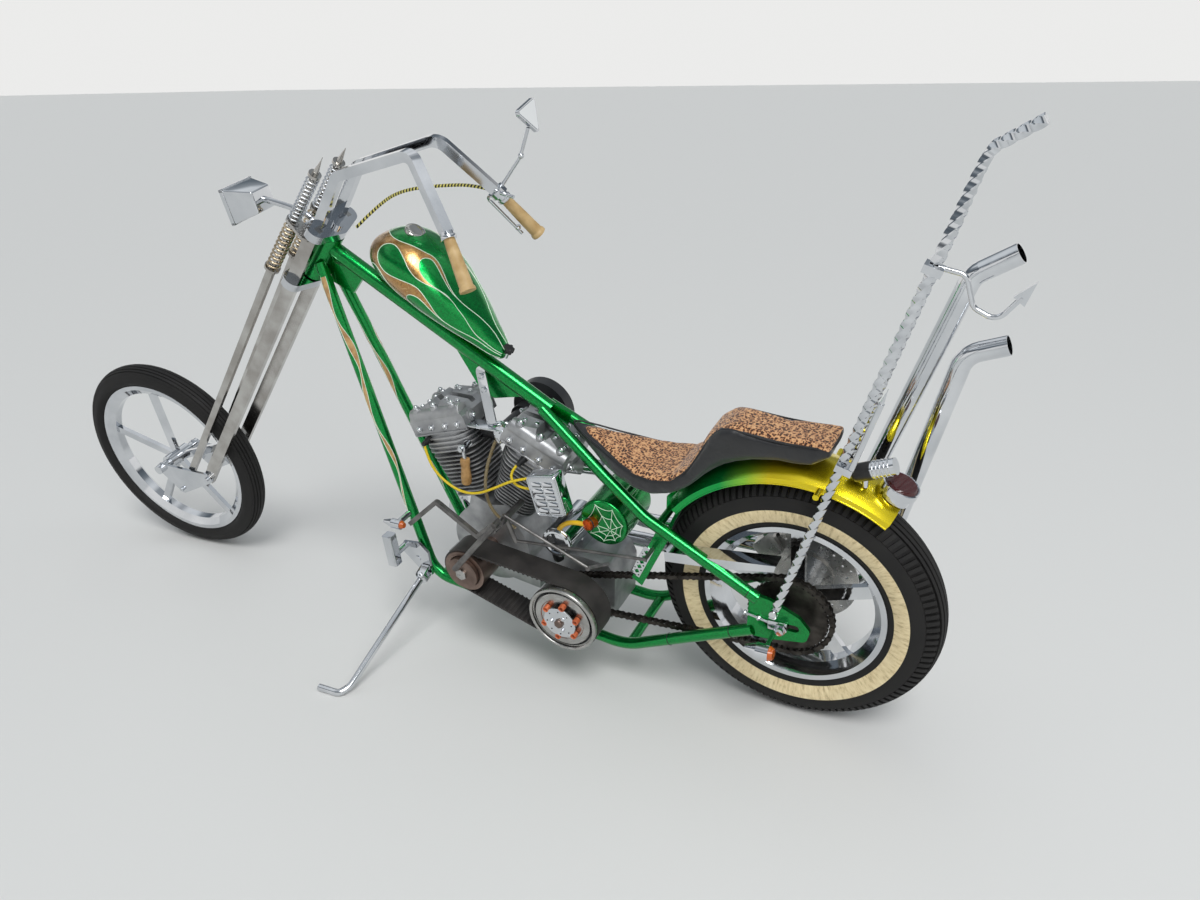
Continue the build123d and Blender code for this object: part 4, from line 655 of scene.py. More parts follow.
rows, reaches = [], []
count = tank["around"]
quarter = count // 4
for row in tankRows:
    perDegree = math.radians((row[2] + row[3]) / 2)
    half = [goldReach(row[0], 360 * step / count, perDegree) for step in range(-quarter, quarter + 1)]
    rows.append([tankPoint(row, 2 * math.pi * k / count) for k in range(count)])
    for k in range(count):
        # the right side mirrors the left one
        step = k if k <= 2 * quarter else k - count
        step = step if abs(step) <= quarter else math.copysign(2 * quarter, step) - step
        reaches.append(half[int(step) + quarter])
shell = lofted(rows)
goldField = shell.data.attributes.new("goldField", "FLOAT", "POINT")
for place, value in zip(goldField.data, reaches):
    place.value = value

# Candy green with mottled gold leaf inside the flames, all under clear coat
tree, shader, where, paint = candyPaint("flamedTankLacquer")
inGold = addNode(tree, "Attribute", {"attribute_name": "goldField"}).outputs["Fac"]
gold = addNode(tree, "MapRange", {1: -0.15, 2: 0.15}, {0: inGold})
marble = addNode(tree, "TexNoise", {"Scale": 55, "Detail": 8, "Distortion": 1.6}, {"Vector": where})
leafStops = [(0.3, "#8e6a3c"), (0.45, "#c49a5c"), (0.55, "#a87a48"), (0.7, "#d8b47a")]
leaf = addNode(tree, "ValToRGB", {"stops": leafStops}, {0: marble.outputs["Fac"]})
sides = {0: gold.outputs[0], 6: paint.outputs["Color"], 7: leaf.outputs["Color"]}
leafed = addNode(tree, "Mix", {"data_type": "RGBA"}, sides)
tree.links.new(leafed.outputs[2], shader.inputs["Base Color"])
settle(shell, "fuelTankShell", "flamedTankLacquer", hides=("fuel_tank",), angle=60)

stripes = []
for line in (crown, drop, tank["innerDrop"], tank["lowDrop"], belly):
    for side in (1, -1):
        route = []
        for back, angle in throughPoints(line, 5):
            point = tankPoint(tankRowAt(back), math.radians(angle), 0.2)
            point.y *= side
            route.append(point)
        stripes.append(rod(route, tank["stripe"], resolution=1, sides=2))
settle(join(stripes), "tankPinstripes", "palePinstripe", angle=60)

# Filler cap on the crown, and a black star knob at the tail
tankFittings = {
    "capBack": 212,
    "cap": [(0, 7), (16, 7), (22, 6), (24.5, 4), (25, 1), (25, -6), (0, -6)],
    "knobAxis": (-0.5, 0, 0.84), "knob": (741, 0, 893), "knobStem": (750, 0, 877),
    "knobRadius": 13, "lobe": 1.8, "lobes": 6, "knobHeight": 15,
}
capPlace = aimed(tankPoint(tankRowAt(tankFittings["capBack"]), math.radians(90), -1.0), tankUp)
filler = setDown(turned(tankFittings["cap"]), capPlace)
settle(filler, "fuelFillerCap", "oldChromePlate", hides=("fuel_fittings",))
starEdge = []
for k in range(48):
    angle = 2 * math.pi * k / 48
    radius = tankFittings["knobRadius"] + tankFittings["lobe"] * math.cos(tankFittings["lobes"] * angle)
    starEdge.append((radius * math.cos(angle), radius * math.sin(angle)))
star = softened(lofted([[mm(x, y, z) for x, y in starEdge] for z in (0, tankFittings["knobHeight"])]), 2.0, 3, 60)
setDown(star, aimed(mm(*tankFittings["knob"]), tankFittings["knobAxis"]))
settle(star, "tailKnob", "mouldedBlackPlastic")
knobStem = pegAt(mm(*tankFittings["knobStem"]), tankFittings["knobAxis"], 6, 20)
settle(knobStem, "tailKnobStem", "chromePlate")
print("fuel tank")


# Seat: a padded saddle, spotted cloth over black vinyl sides
# each station: x, top, underside, half width
seat = {
    "stations": [
        (572, 733, 716, 12), (530, 716, 690, 36), (480, 698, 652, 58), (430, 681, 626, 82), (380, 666, 612, 99),
        (330, 661, 608, 106),
        (280, 668, 622, 103), (243, 694, 648, 93), (214, 742, 672, 85), (190, 785, 690, 79), (166, 807, 706, 75),
        (140, 810, 718, 73),
        (100, 804, 730, 72), (40, 796, 741, 71), (-40, 795, 741, 67), (-84, 793, 765, 64),
    ],
    "around": 32,
    "squareness": 0.42,
    "seamDrop": 6,
    "hem": 3,
    "voxel": 0.005,
    "pressure": 4.0,
    "steps": 20,
    "cap": 0.006,
}


def seatAt(x, column):
    rows = seat["stations"]
    for nearer, further in zip(rows, rows[1:]):
        if further[0] <= x <= nearer[0]:
            share = (nearer[0] - x) / (nearer[0] - further[0])
            return nearer[column] + (further[column] - nearer[column]) * share
    return rows[0][column] if x > rows[0][0] else rows[-1][column]


rows = []
for x, top, under, half in seat["stations"]:
    row = []
    for k in range(seat["around"]):
        angle = 2 * math.pi * k / seat["around"]
        across = math.copysign(abs(math.cos(angle)) ** seat["squareness"], math.cos(angle))
        rise = math.copysign(abs(math.sin(angle)) ** seat["squareness"], math.sin(angle))
        height = (top + under) / 2 + ((top - under) / 2 - seat["hem"]) * rise
        row.append(mm(x, (half - seat["hem"]) * across, height))
    rows.append(row)
pad = lofted(rows)
remesh = pad.modifiers.new("even", "REMESH")
remesh.mode = "VOXEL"
remesh.voxel_size = seat["voxel"]
bpy.ops.object.modifier_apply(modifier=remesh.name)
before = [v.co.copy() for v in pad.data.vertices]
cloth = pad.modifiers.new("stuffing", "CLOTH")
cloth.settings.use_pressure = True
cloth.settings.uniform_pressure_force = seat["pressure"]
cloth.settings.effector_weights.gravity = 0
cloth.settings.quality = 5
scene = bpy.context.scene
for step in range(1, seat["steps"] + 1):
    scene.frame_set(step)
bpy.ops.object.modifier_apply(modifier=cloth.name)
for vertex, start in zip(pad.data.vertices, before):
    move = vertex.co - start
    if move.length > seat["cap"]:
        vertex.co = start + move.normalized() * seat["cap"]
scene.frame_set(1)
relax = pad.modifiers.new("relax", "SMOOTH")
relax.iterations = 3
bpy.ops.object.modifier_apply(modifier=relax.name)
fine = pad.modifiers.new("fine", "SUBSURF")
fine.levels = fine.render_levels = 1
bpy.ops.object.modifier_apply(modifier=fine.name)
# how far each point lies over the seam, which runs along the pad under its top
overSeam = pad.data.attributes.new("overSeam", "FLOAT", "POINT")
for vertex, value in zip(pad.data.vertices, overSeam.data):
    x, y, z = vertex.co * 1000
    value.value = z - (seatAt(x, 1) - seat["seamDrop"])
print("seat pad", len(pad.data.polygons))

# Short-pile cloth printed with spots, and black vinyl below the seam
tree, shader, where = newFinish("spottedClothAndVinyl", {"Sheen Weight": 0.25, "Sheen Roughness": 0.5})
bend = addNode(tree, "TexNoise", {"Scale": 90, "Detail": 2}, {"Vector": where})
bent = addNode(tree, "Mix", {"data_type": "VECTOR", 0: 0.012}, {4: where, 5: bend.outputs["Color"]})
# spots about 6.5 mm apart, their rings broken
spots = addNode(tree, "TexVoronoi", {"Scale": 155.0, "Randomness": 0.75}, {"Vector": bent.outputs[1]})
broken = addNode(tree, "TexNoise", {"Scale": 360, "Detail": 2}, {"Vector": where})
ring = addNode(tree, "Math", {"operation": "MULTIPLY_ADD", 1: 0.5, 2: -0.25}, {0: broken.outputs["Fac"]})
ringed = addNode(tree, "Math", {"operation": "ADD"}, {0: spots.outputs["Distance"], 1: ring.outputs[0]})
pileStops = [
    (0.0, "#7c4a2a"), (0.16, "#5a2f17"), (0.22, "#1d0e08"), (0.38, "#27130b"), (0.47, "#a5704a"), (0.75, "#cfa273"),
]
pile = addNode(tree, "ValToRGB", {"stops": pileStops}, {0: ringed.outputs[0]})
vinylTone = addNode(tree, "TexNoise", {"Scale": 12, "Detail": 4}, {"Vector": where})
vinylStops = [(0.3, "#0f1011"), (0.7, "#191a1d")]
vinyl = addNode(tree, "ValToRGB", {"stops": vinylStops}, {0: vinylTone.outputs["Fac"]})
above = addNode(tree, "Attribute", {"attribute_name": "overSeam"}).outputs["Fac"]
isCloth = addNode(tree, "Math", {"operation": "GREATER_THAN", 1: 0.0}, {0: above})
sides = {0: isCloth.outputs[0], 6: vinyl.outputs["Color"], 7: pile.outputs["Color"]}
colour = addNode(tree, "Mix", {"data_type": "RGBA"}, sides)
tree.links.new(colour.outputs[2], shader.inputs["Base Color"])
dullness = addNode(tree, "MapRange", {3: 0.36, 4: 0.85}, {0: isCloth.outputs[0]})
tree.links.new(dullness.outputs[0], shader.inputs["Roughness"])
weave = addNode(tree, "TexNoise", {"Scale": 1400, "Detail": 2}, {"Vector": where})
creases = addNode(tree, "TexNoise", {"Scale": 22, "Detail": 3, "Distortion": 0.8}, {"Vector": where})
creaseDepth = addNode(tree, "MapRange", {3: 0.004, 4: 0.0006}, {0: isCloth.outputs[0]})
creased = {"Height": creases.outputs["Fac"], "Distance": creaseDepth.outputs[0]}
folds = addNode(tree, "Bump", {"Strength": 0.6}, creased)
woven = {"Height": weave.outputs["Fac"], "Normal": folds.outputs["Normal"]}
grain = addNode(tree, "Bump", {"Strength": 0.4, "Distance": 0.0003}, woven)
tree.links.new(grain.outputs["Normal"], shader.inputs["Normal"])
settle(pad, "seatPad", "spottedClothAndVinyl", hides=("seat",), angle=60)

# Black welt cord sewn into the seam, all the way round
welt = []
for side in (1, -1):
    for x, top, under, half in seat["stations"][::side]:
        rise = 1 - (seat["seamDrop"] - seat["hem"]) / ((top - under) / 2 - seat["hem"])
        across = math.cos(math.asin(rise ** (1 / seat["squareness"]))) ** seat["squareness"]
        welt.append(mm(x, side * ((half - seat["hem"]) * across - 2.0), top - seat["seamDrop"] - 1.5))
piping = rod(welt, 2.2, cyclic=True, resolution=6, sides=3)
settle(piping, "seatWelt", "satinBlackAndPaintedShade", angle=60)
print("seat")


# Sissy bar: two square bars, twisted all along
sissy = {
    "route": [
        (22, 135, 372), (-32, 123.5, 535), (-80, 113.6, 678), (-94, 111, 722), (-170, 101, 950), (-255, 89.5, 1203),
        (-274, 78, 1256), (-313, 20, 1376), (-328, 9, 1408), (-345, 8, 1418), (-407, 8, 1456),
    ],
    "width": 16, "chamfer": 1.6, "twistLength": 105, "pin": (15, 142, 393),
}
half, cut = sissy["width"] / 2000, (sissy["width"] / 2 - sissy["chamfer"]) / 1000
outline = [
    (half, -cut), (half, cut), (cut, half), (-cut, half), (-half, cut), (-half, -cut), (-cut, -half), (cut, -half),
]
square = bpy.data.curves.new("square", "CURVE")
line = square.splines.new("POLY")
line.points.add(len(outline) - 1)
for k, (a, b) in enumerate(outline):
    line.points[k].co = (a, b, 0, 1)
line.use_cyclic_u = True
squareSection = bpy.data.objects.new("square", square)
bars = []
for side, name in ((1, "sissyPinLeft"), (-1, "sissyPinRight")):
    route = [mm(x, side * y, z) for x, y, z in sissy["route"]]
    run, tilts = 0.0, [0.0]
    for nearer, further in zip(route, route[1:]):
        run += (further - nearer).length * 1000
        tilts.append(side * 2 * math.pi * run / sissy["twistLength"])
    bars.append(rod(route, 8, resolution=96, tilts=tilts, section=squareSection))
    x, y, z = sissy["pin"]
    settle(pegAt(mm(x, side * y, z), (0, side, 0), 9, 12, 24, 1.5), name, "chromePlate")
settle(join(bars), "twistedSissyBars", "chromePlate", hides=("sissy_bar",), angle=30)
print("sissy bar")


# Fork springs
springs = {
    "forward": 86, "spacing": 48, "steps": 12,
    "lower": {
        "low": -34, "high": 130, "radius": 16, "wire": 3.0, "coils": 10, "finish": "agedSpringPlate",
        "slot": "brass_springs",
    },
    "upper": {
        "low": 142, "high": 288, "radius": 14.2, "wire": 2.5, "coils": 11, "finish": "chromePlate", "slot": "chrome",
    },
}
for kind in ("lower", "upper"):
    size = springs[kind]
    radius = size["radius"] * 1.03
    steps = size["coils"] * springs["steps"]
    pair = []
    for side in (1, -1):
        helix = []
        for k in range(steps + 1):
            angle = 2 * math.pi * k / springs["steps"]
            up = size["low"] + size["wire"] + (size["high"] - size["low"] - 2 * size["wire"]) * k / steps
            left = side * springs["spacing"] + radius * math.sin(angle)
            helix.append(forkPoint(springs["forward"] + radius * math.cos(angle), left, up))
        pair.append(rod(helix, size["wire"], resolution=2, sides=2))
    hidden = ("fork_" + kind + "_springs",)
    settle(join(pair), kind + "ForkSprings", size["finish"], "steering", hides=hidden, angle=60)
print("fork springs")


# Chain and belt, each a loop over a rear and a front wheel; the chain's links come in pairs
chain = {
    "rear": (0, 345), "front": (551, 262), "rearRadius": 106, "frontRadius": 54, "y": 84, "pitch": 15.875,
    "group": 2, "halfHeight": 6.6, "plate": 1.6, "rollerRadius": 5.0, "rollerLength": 16.5,
    "plates": (5.4, 7.4),
}
belt = {
    "rear": (551, 262), "front": (844, 332), "rearRadius": 92.2, "frontRadius": 60.2, "y": 158, "pitch": 13.5,
    "group": 1, "tooth": (6, 72, 4.6), "toothUp": -1.9, "clearOfWheels": (0.1, 0.068),
}


def loopPlaces(loop):
    # evenly spaced points and headings round the loop, in the machine's side plane
    centreA, centreB = [mm(x, loop["y"], z) for x, z in (loop["rear"], loop["front"])]
    radiusA, radiusB = loop["rearRadius"] / 1000, loop["frontRadius"] / 1000
    span = centreB - centreA
    tilt = math.atan2(span.z, span.x)
    lean = math.asin((radiusA - radiusB) / span.length)
    straight = math.sqrt(span.length**2 - (radiusA - radiusB) ** 2)
    wrapA, wrapB = (math.pi + 2 * lean) * radiusA, (math.pi - 2 * lean) * radiusB
    total = 2 * straight + wrapA + wrapB
    upper, lower = tilt + math.pi / 2 - lean, tilt - math.pi / 2 + lean
    stretches = (
        (centreA, radiusA, upper, straight, False), (centreB, radiusB, upper, wrapB, True),
        (centreB, radiusB, lower, straight, False), (centreA, radiusA, lower, wrapA, True),
    )
    count = loop["group"] * round(total * 1000 / loop["pitch"] / loop["group"])
    places = []
    for k in range(count):
        run = total * k / count
        for centre, radius, angle, length, curved in stretches:
            if run < length:
                break
            run -= length
        if curved:
            angle, run = angle - run / radius, 0.0
        heading = angle - math.pi / 2
        point = centre + Vector((math.cos(angle), 0, math.sin(angle))) * radius
        places.append((point + Vector((math.cos(heading), 0, math.sin(heading))) * run, heading))
    return places


def linkPlate(across):
    # a figure-of-eight side plate, lying in the side plane
    halfPitch, high = chain["pitch"] / 2, chain["halfHeight"]
    outline = [
        (halfPitch + high * 0.95, 0), (halfPitch + high * 0.6, high * 0.75), (halfPitch, high), (0, high * 0.68),
        (-halfPitch, high), (-halfPitch - high * 0.6, high * 0.75), (-halfPitch - high * 0.95, 0),
    ]
    outline += [(x, -z) for x, z in reversed(outline[1:-1])]
    return lofted([[mm(x, across + depth * chain["plate"] / 2, z) for x, z in outline] for depth in (-1, 1)])


def sideTurn(point, heading):
    return Matrix.Translation(point) @ Matrix.Rotation(-heading, 4, "Y")


places = loopPlaces(chain)
chainParts = []
for first, across in enumerate(chain["plates"]):
    link = join([linkPlate(across), linkPlate(-across)])
    chainParts.append(copiesAt(link, [sideTurn(*place) for place in places[first::2]]))
roller = startPiece(
    "cylinder", vertices=10, radius=chain["rollerRadius"] / 1000, depth=chain["rollerLength"] / 1000,
    rotation=(math.pi / 2, 0, 0),
)
halfSteps = [((a[0] + b[0]) / 2, a[1]) for a, b in zip(places, places[1:] + places[:1])]
chainParts.append(copiesAt(roller, [sideTurn(*place) for place in halfSteps]))
settle(join(chainParts), "driveChainLinks", "oiledChainSteel", hides=("drive_chain",))
print("chain links", len(places))

tooth = startPiece("cube", size=1, scale=mm(*belt["tooth"]), location=mm(0, 0, belt["toothUp"]))
wheels = [(mm(x, belt["y"], z), clear) for (x, z), clear in zip((belt["rear"], belt["front"]), belt["clearOfWheels"])]
inRuns = []
for point, heading in loopPlaces(belt):
    if all((point - centre).length > clear for centre, clear in wheels):
        inRuns.append(sideTurn(point, heading))
settle(copiesAt(softened(tooth, 1.2, 1), inRuns), "beltTeeth", "toothedBeltRubber")
print("belt teeth", len(inRuns))


# Clutch: turned parts as (radius, height from the machine's middle), and rings of small ones
clutch = {
    "centre": (551, 0, 262),
    "turnings": (
        ("clutchBasket", "turnedAluminium", 96, [
            (24, 118), (92, 118), (92, 196), (95.5, 197.5), (95.5, 208), (94, 210.5), (88, 211), (86.5, 209),
            (86.5, 203), (84.5, 202.5),
        ]),
        # the groove between drum and plate is black: painted shade in the gap
        ("clutchGrooveShade", "satinBlackAndPaintedShade", 96, [(84.5, 202.5), (84, 199), (79.5, 199), (79, 203)]),
        ("clutchPlate", "turnedAluminium", 96, [
            (79, 203), (78.6, 206), (77, 207.2), (62, 207.6), (60, 206), (0, 206),
        ]),
        ("clutchSpringDisc", "chromePlate", 64, [
            (0, 222), (12, 222), (42, 222), (44.5, 221), (45, 219), (44, 217.5), (10, 217.5), (10, 206),
        ]),
    ),
    "coilLifts": (0.002, 0.006, 0.010, 0.014),
}
for name, finishName, steps, profile in clutch["turnings"]:
    hidden = ("clutch",) if name == "clutchBasket" else ()
    part = setDown(turned(profile, steps), aimed(mm(*clutch["centre"]), (0, 1, 0)))
    settle(part, name, finishName, hides=hidden)


def clutchRing(out, count, radius, start=0.0):
    return ringOf(mm(*clutch["centre"]) + mm(0, out, 0), (0, 1, 0), count, radius / 1000, start)


# black blocks in the drum's slots: painted shade in the openings
slot = softened(startPiece("cube", size=1, scale=mm(4.5, 16, 4)), 0.8, 1)
settle(copiesAt(slot, clutchRing(208.5, 12, 90.5)), "clutchDrumSlotShade", "satinBlackAndPaintedShade")
coil = startPiece("torus", major_radius=0.0066, minor_radius=0.0018, major_segments=16, minor_segments=6)
coilPlaces = [
    place @ Matrix.Translation((0, 0, lift)) for place in clutchRing(207, 6, 49, 0.3) for lift in clutch["coilLifts"]
]
settle(copiesAt(coil, coilPlaces), "clutchSprings", "orangePlating", angle=60)
# thin black discs for the disc's holes: painted shade in them
hole = startPiece("cylinder", vertices=12, radius=0.0019, depth=0.001)
settle(copiesAt(hole, clutchRing(222.1, 8, 35)), "clutchDiscHoleShade", "satinBlackAndPaintedShade")
nut = softened(startPiece("cylinder", vertices=6, radius=0.0052, depth=0.006), 0.8)
settle(copiesAt(nut, clutchRing(224, 3, 22, 0.9)), "clutchDiscNuts", "chromePlate")
centreNut = startPiece(
    "cylinder", vertices=6, radius=0.0125, depth=0.009, location=mm(551, 225, 262), rotation=(math.pi / 2, 0, 0)
)
settle(softened(centreNut, 1.5), "clutchCentreNut", "anodisedBronze")
print("clutch")


# Cylinder heads: gasket flange, rocker shaft ends with acorn nuts, and hex bolts on the shoulders
# places in each head's own plane: along the machine, across, up the cylinder
heads = {
    "engine": (844, 0, 332),
    "leans": {"Front": 16.0, "Rear": -29.0},
    "flange": ((0, 0, 348), (172, 148, 5)),
    "tunnel": {"radius": 0.0205, "length": 0.172, "side": 51, "up": 397},
    "tower": {"radius": 0.0115, "height": 0.016, "up": 412},
    "towers": (62, -62, 0),
    "towerSide": 56,
    "shaftEnd": [(0, 6), (9, 6), (11, 4.5), (15, 4), (16, 2), (16, -3)],
    "shaftEnds": [(92, 38, 374), (92, -38, 374), (-92, 38, 374), (-92, -38, 374)],
    "sideNuts": [(66, 70, 366), (24, 70, 366), (-24, 70, 366), (-66, 70, 366)],
    "towerNuts": [(62, 56, 420), (0, 56, 420), (-62, 56, 420)],
    "acorn": [(0, 10), (3.2, 9.3), (5.6, 7.2), (6.4, 4.8), (8.2, 4.4), (8.2, 0)],
    "topBolts": [(62, 30, 413), (30, 30, 424), (-30, 30, 424), (-62, 30, 413)],
}
tunnel, tower = heads["tunnel"], heads["tower"]
for name, lean in heads["leans"].items():
    headPlace = Matrix.Translation(mm(*heads["engine"])) @ Matrix.Rotation(math.radians(lean), 4, "Y")
    trim = [block(*heads["flange"], 1.2)]
    trim.append(copiesAt(turned(heads["shaftEnd"], 24), [aimed(mm(*p), (p[0], 0, 0)) for p in heads["shaftEnds"]]))
    for side in (1, -1):
        tube = startPiece(
            "cylinder", vertices=48, radius=tunnel["radius"], depth=tunnel["length"],
            location=mm(0, side * tunnel["side"], tunnel["up"]), rotation=(0, math.pi / 2, 0),
        )
        trim.append(softened(setDown(tube), 3, 3))
        for x in heads["towers"]:
            post = startPiece(
                "cylinder", vertices=32, radius=tower["radius"], depth=tower["height"],
                location=mm(x, side * heads["towerSide"], tower["up"]),
            )
            trim.append(softened(setDown(post), 2, 2))
    settle(setDown(join(trim), headPlace), "rockerTrim" + name, "sandCastAluminium")
    acorns = [aimed(mm(x + math.copysign(5.5, x), y, z), (x, 0, 0)) for x, y, z in heads["shaftEnds"]]
    boltPlaces = []
    for side in (1, -1):
        acorns += [aimed(mm(x, y * side, z), (0, side, 0)) for x, y, z in heads["sideNuts"]]
        acorns += [aimed(mm(x, y * side, z), (0, 0, 1)) for x, y, z in heads["towerNuts"]]
        boltPlaces += [aimed(mm(x, y * side, z + 2), (0.25 * x / 62, 0, 1)) for x, y, z in heads["topBolts"]]
    bolt = softened(startPiece("cylinder", vertices=6, radius=0.0072, depth=0.008), 1.0, 1)
    bright = join([copiesAt(turned(heads["acorn"], 12), acorns), copiesAt(bolt, boltPlaces)])
    settle(setDown(bright, headPlace), "rockerNuts" + name, "chromePlate", angle=50)
print("heads")


# Coil cover: a chromed pressing with five pairs of scooped louvres and a rolled edge; a thin black strip under each
# scoop paints the shade of its opening
coilCover = {
    "centre": (592, 122, 586), "tilt": 10.0, "size": (86, 44, 114), "rows": 5, "pitch": 18.5, "apart": 32,
    "louvre": (27, 9.5, 5.5), "mouth": 0.0052, "edgeInset": 0.012, "edgeRadius": 0.009, "bead": 1.8,
    "stem": (14, -62, 14),
}
width, depth, height = mm(*coilCover["size"])
scoops, mouthShades = [], []
long, tall, deep = mm(*coilCover["louvre"])
face = depth / 2 - 0.0002
for row in range(coilCover["rows"]):
    for side in (1, -1):
        x = side * coilCover["apart"] / 2000
        z = (row - (coilCover["rows"] - 1) / 2) * coilCover["pitch"] / 1000
        profile = ((0, tall / 2), (0, -tall / 2), (deep, -tall / 2), (deep * 0.8, -tall / 6))
        ends = [[Vector((x + end * long / 2, face + dy, z + dz)) for dy, dz in profile] for end in (-1, 1)]
        scoops.append(lofted(ends))
        # the mouth: a thin black strip just under the scoop, painted shade where the louvre opens
        mouthPlace = (x, face + 0.0004, z - tall / 2 - 0.0025)
        mouthShades.append(startPiece("cube", size=1, location=mouthPlace, scale=(long * 0.96, 0.0012, coilCover["mouth"])))
edge = []
inset, radius = coilCover["edgeInset"], coilCover["edgeRadius"]
for cornerX, cornerZ, start in ((1, 1, 0), (-1, 1, 90), (-1, -1, 180), (1, -1, 270)):
    for step in range(5):
        angle = math.radians(start + 22.5 * step)
        x = cornerX * (width / 2 - inset) + radius * math.cos(angle)
        z = cornerZ * (height / 2 - inset) + radius * math.sin(angle)
        edge.append(Vector((x, depth / 2 - 0.0005, z)))
box = block((0, 0, 0), coilCover["size"], 7.0, 4)
bead = rod(edge, coilCover["bead"], cyclic=True, resolution=4)
stem = pegAt(mm(*coilCover["stem"]), (0, 1, 0), 9, 44)
turnedOver = Matrix.Translation(mm(*coilCover["centre"])) @ Matrix.Rotation(math.radians(coilCover["tilt"]), 4, "Y")
cover = setDown(join([box, softened(join(scoops), 0.8), bead, stem]), turnedOver)
settle(cover, "coilCoverPressing", "chromePlate", hides=("coil_cover",))
settle(setDown(join(mouthShades), turnedOver), "coilCoverMouthShade", "satinBlackAndPaintedShade")
print("coil cover")


# Cords: plug leads and throttle cable on the CAD source's routes, and two hoses
cords = {
    "frontLead": [
        (626, 126, 624), (690, 128, 606), (755, 124, 566), (820, 118, 530), (880, 112, 522), (940, 106, 548),
        (972, 103, 592), (982, 96, 640),
    ],
    "rearLead": [(626, 124, 588), (664, 125, 583), (700, 119, 588), (712, 108, 612), (692, 96, 634)],
    "frontPlug": (982, 66, 640),
    "rearPlug": (690, 66, 634),
    "throttle": [
        (-272, -112, 500), (-215, -116, 470), (-140, -110, 400), (-70, -80, 330), (-46, -54, 262), (-30, -44, 178.2),
    ],
    "fuelHose": [(772, 62, 672), (792, 74, 630), (805, 98, 560), (800, 106, 500), (770, 104, 450), (735, 90, 425)],
    "oilHose": [(521, 92, 487), (550, 96, 492), (584, 102, 478), (604, 106, 440), (613, 104, 392)],
    "elbow": [(613, 104, 398), (613, 104, 372), (613, 96, 356), (613, 78, 352)],
    "boot": [(0, 0), (9.5, 0), (10.5, 3), (9.5, 6), (9, 14), (7.5, 22), (6.4, 34), (4.5, 35.5), (0, 36)],
    "adjuster": [
        (0, 0), (5, 0), (5, 14), (4.6, 15), (4.6, 20), (5.2, 21), (5.2, 36), (4.7, 37), (4.7, 62), (0, 62),
    ],
    "leadRadius": 3.5, "cableRadius": 4.0, "fuelHoseRadius": 4.5, "oilHoseRadius": 6.5, "elbowRadius": 8.5,
}


def cordAlong(name, route, radius, finish, body="frame", hides=()):
    # the cord's own line is sampled for its length, and its UV map is put in metres
    cord = rod(route, radius, resolution=14, sides=3)
    run = [Vector(route[0])]
    steps = 12
    for k in range(len(route) - 2):
        start = route[0] if k == 0 else (route[k] + route[k + 1]) / 2
        end = route[-1] if k == len(route) - 3 else (route[k + 1] + route[k + 2]) / 2
        for step in range(1, steps + 1):
            share = step / steps
            run.append(start * (1 - share) ** 2 + route[k + 1] * 2 * share * (1 - share) + end * share**2)
    length = sum((b - a).length for a, b in zip(run, run[1:]))
    for corner in cord.data.uv_layers[0].data:
        corner.uv = (corner.uv.x * length, corner.uv.y)
    settle(cord, name, finish, body, hides=hides, angle=60)
    print(name, round(length * 1000), "mm")


# Plug leads, each ending in a rubber boot with a moulded rib
for name, route, plug in (("Front", "frontLead", "frontPlug"), ("Rear", "rearLead", "rearPlug")):
    boot = setDown(turned(cords["boot"], 32), aimed(mm(*cords[plug]), (0, 1, 0)))
    settle(boot, "plugBoot" + name, "mouldedBlackPlastic")
    points = [mm(*p) for p in cords[route]]
    cordAlong(
        "plugLead" + name, points, cords["leadRadius"], "yellowLeadBraid", hides=("plug_leads",),
    )

# Throttle cable with its steel adjuster at the hand control
cableRoute = [forkPoint(*p) for p in cords["throttle"]]
cableStart = (cableRoute[0] - cableRoute[1]).normalized()
adjuster = setDown(turned(cords["adjuster"], 24), aimed(cableRoute[0] - cableStart * 0.02, cableStart))
settle(adjuster, "throttleAdjuster", "chromePlate", "steering")
cordAlong(
    "throttleCable", cableRoute, cords["cableRadius"], "blackYellowBraid", "steering", hides=("throttle_cable",),
)

# Clear fuel hose from under the oval cap, yellow oil hose from the tank's cap to its elbow
cordAlong("fuelHose", [mm(*p) for p in cords["fuelHose"]], cords["fuelHoseRadius"], "clearHose")
cordAlong("oilHose", [mm(*p) for p in cords["oilHose"]], cords["oilHoseRadius"], "yellowHose")
elbow = rod([mm(*p) for p in cords["elbow"]], cords["elbowRadius"])
settle(elbow, "oilHoseElbow", "mouldedBlackPlastic")
print("cords")


# Turned wooden knob on its steel fitting, between the cylinders
knob = turned([(0, 0), (11, 0), (13.5, 4), (14, 26), (11.5, 50), (13.5, 66), (12.5, 74), (0, 76)], 40)
setDown(knob, aimed(mm(868, 92, 538), (-0.08, -0.04, 1)))
settle(knob, "woodenKnob", "turnedWood")
fitting = join(
    [
        pegAt(mm(862, 89, 606), (0, 0, 1), 5, 36), pegAt(mm(862, 62, 646), (0, 1, 0), 11, 34, 24, 1.5),
        pegAt(mm(862, 96, 646), (0, 1, 0), 8, 8, 6, 1.0),
    ]
)
settle(fitting, "knobFitting", "chromePlate")

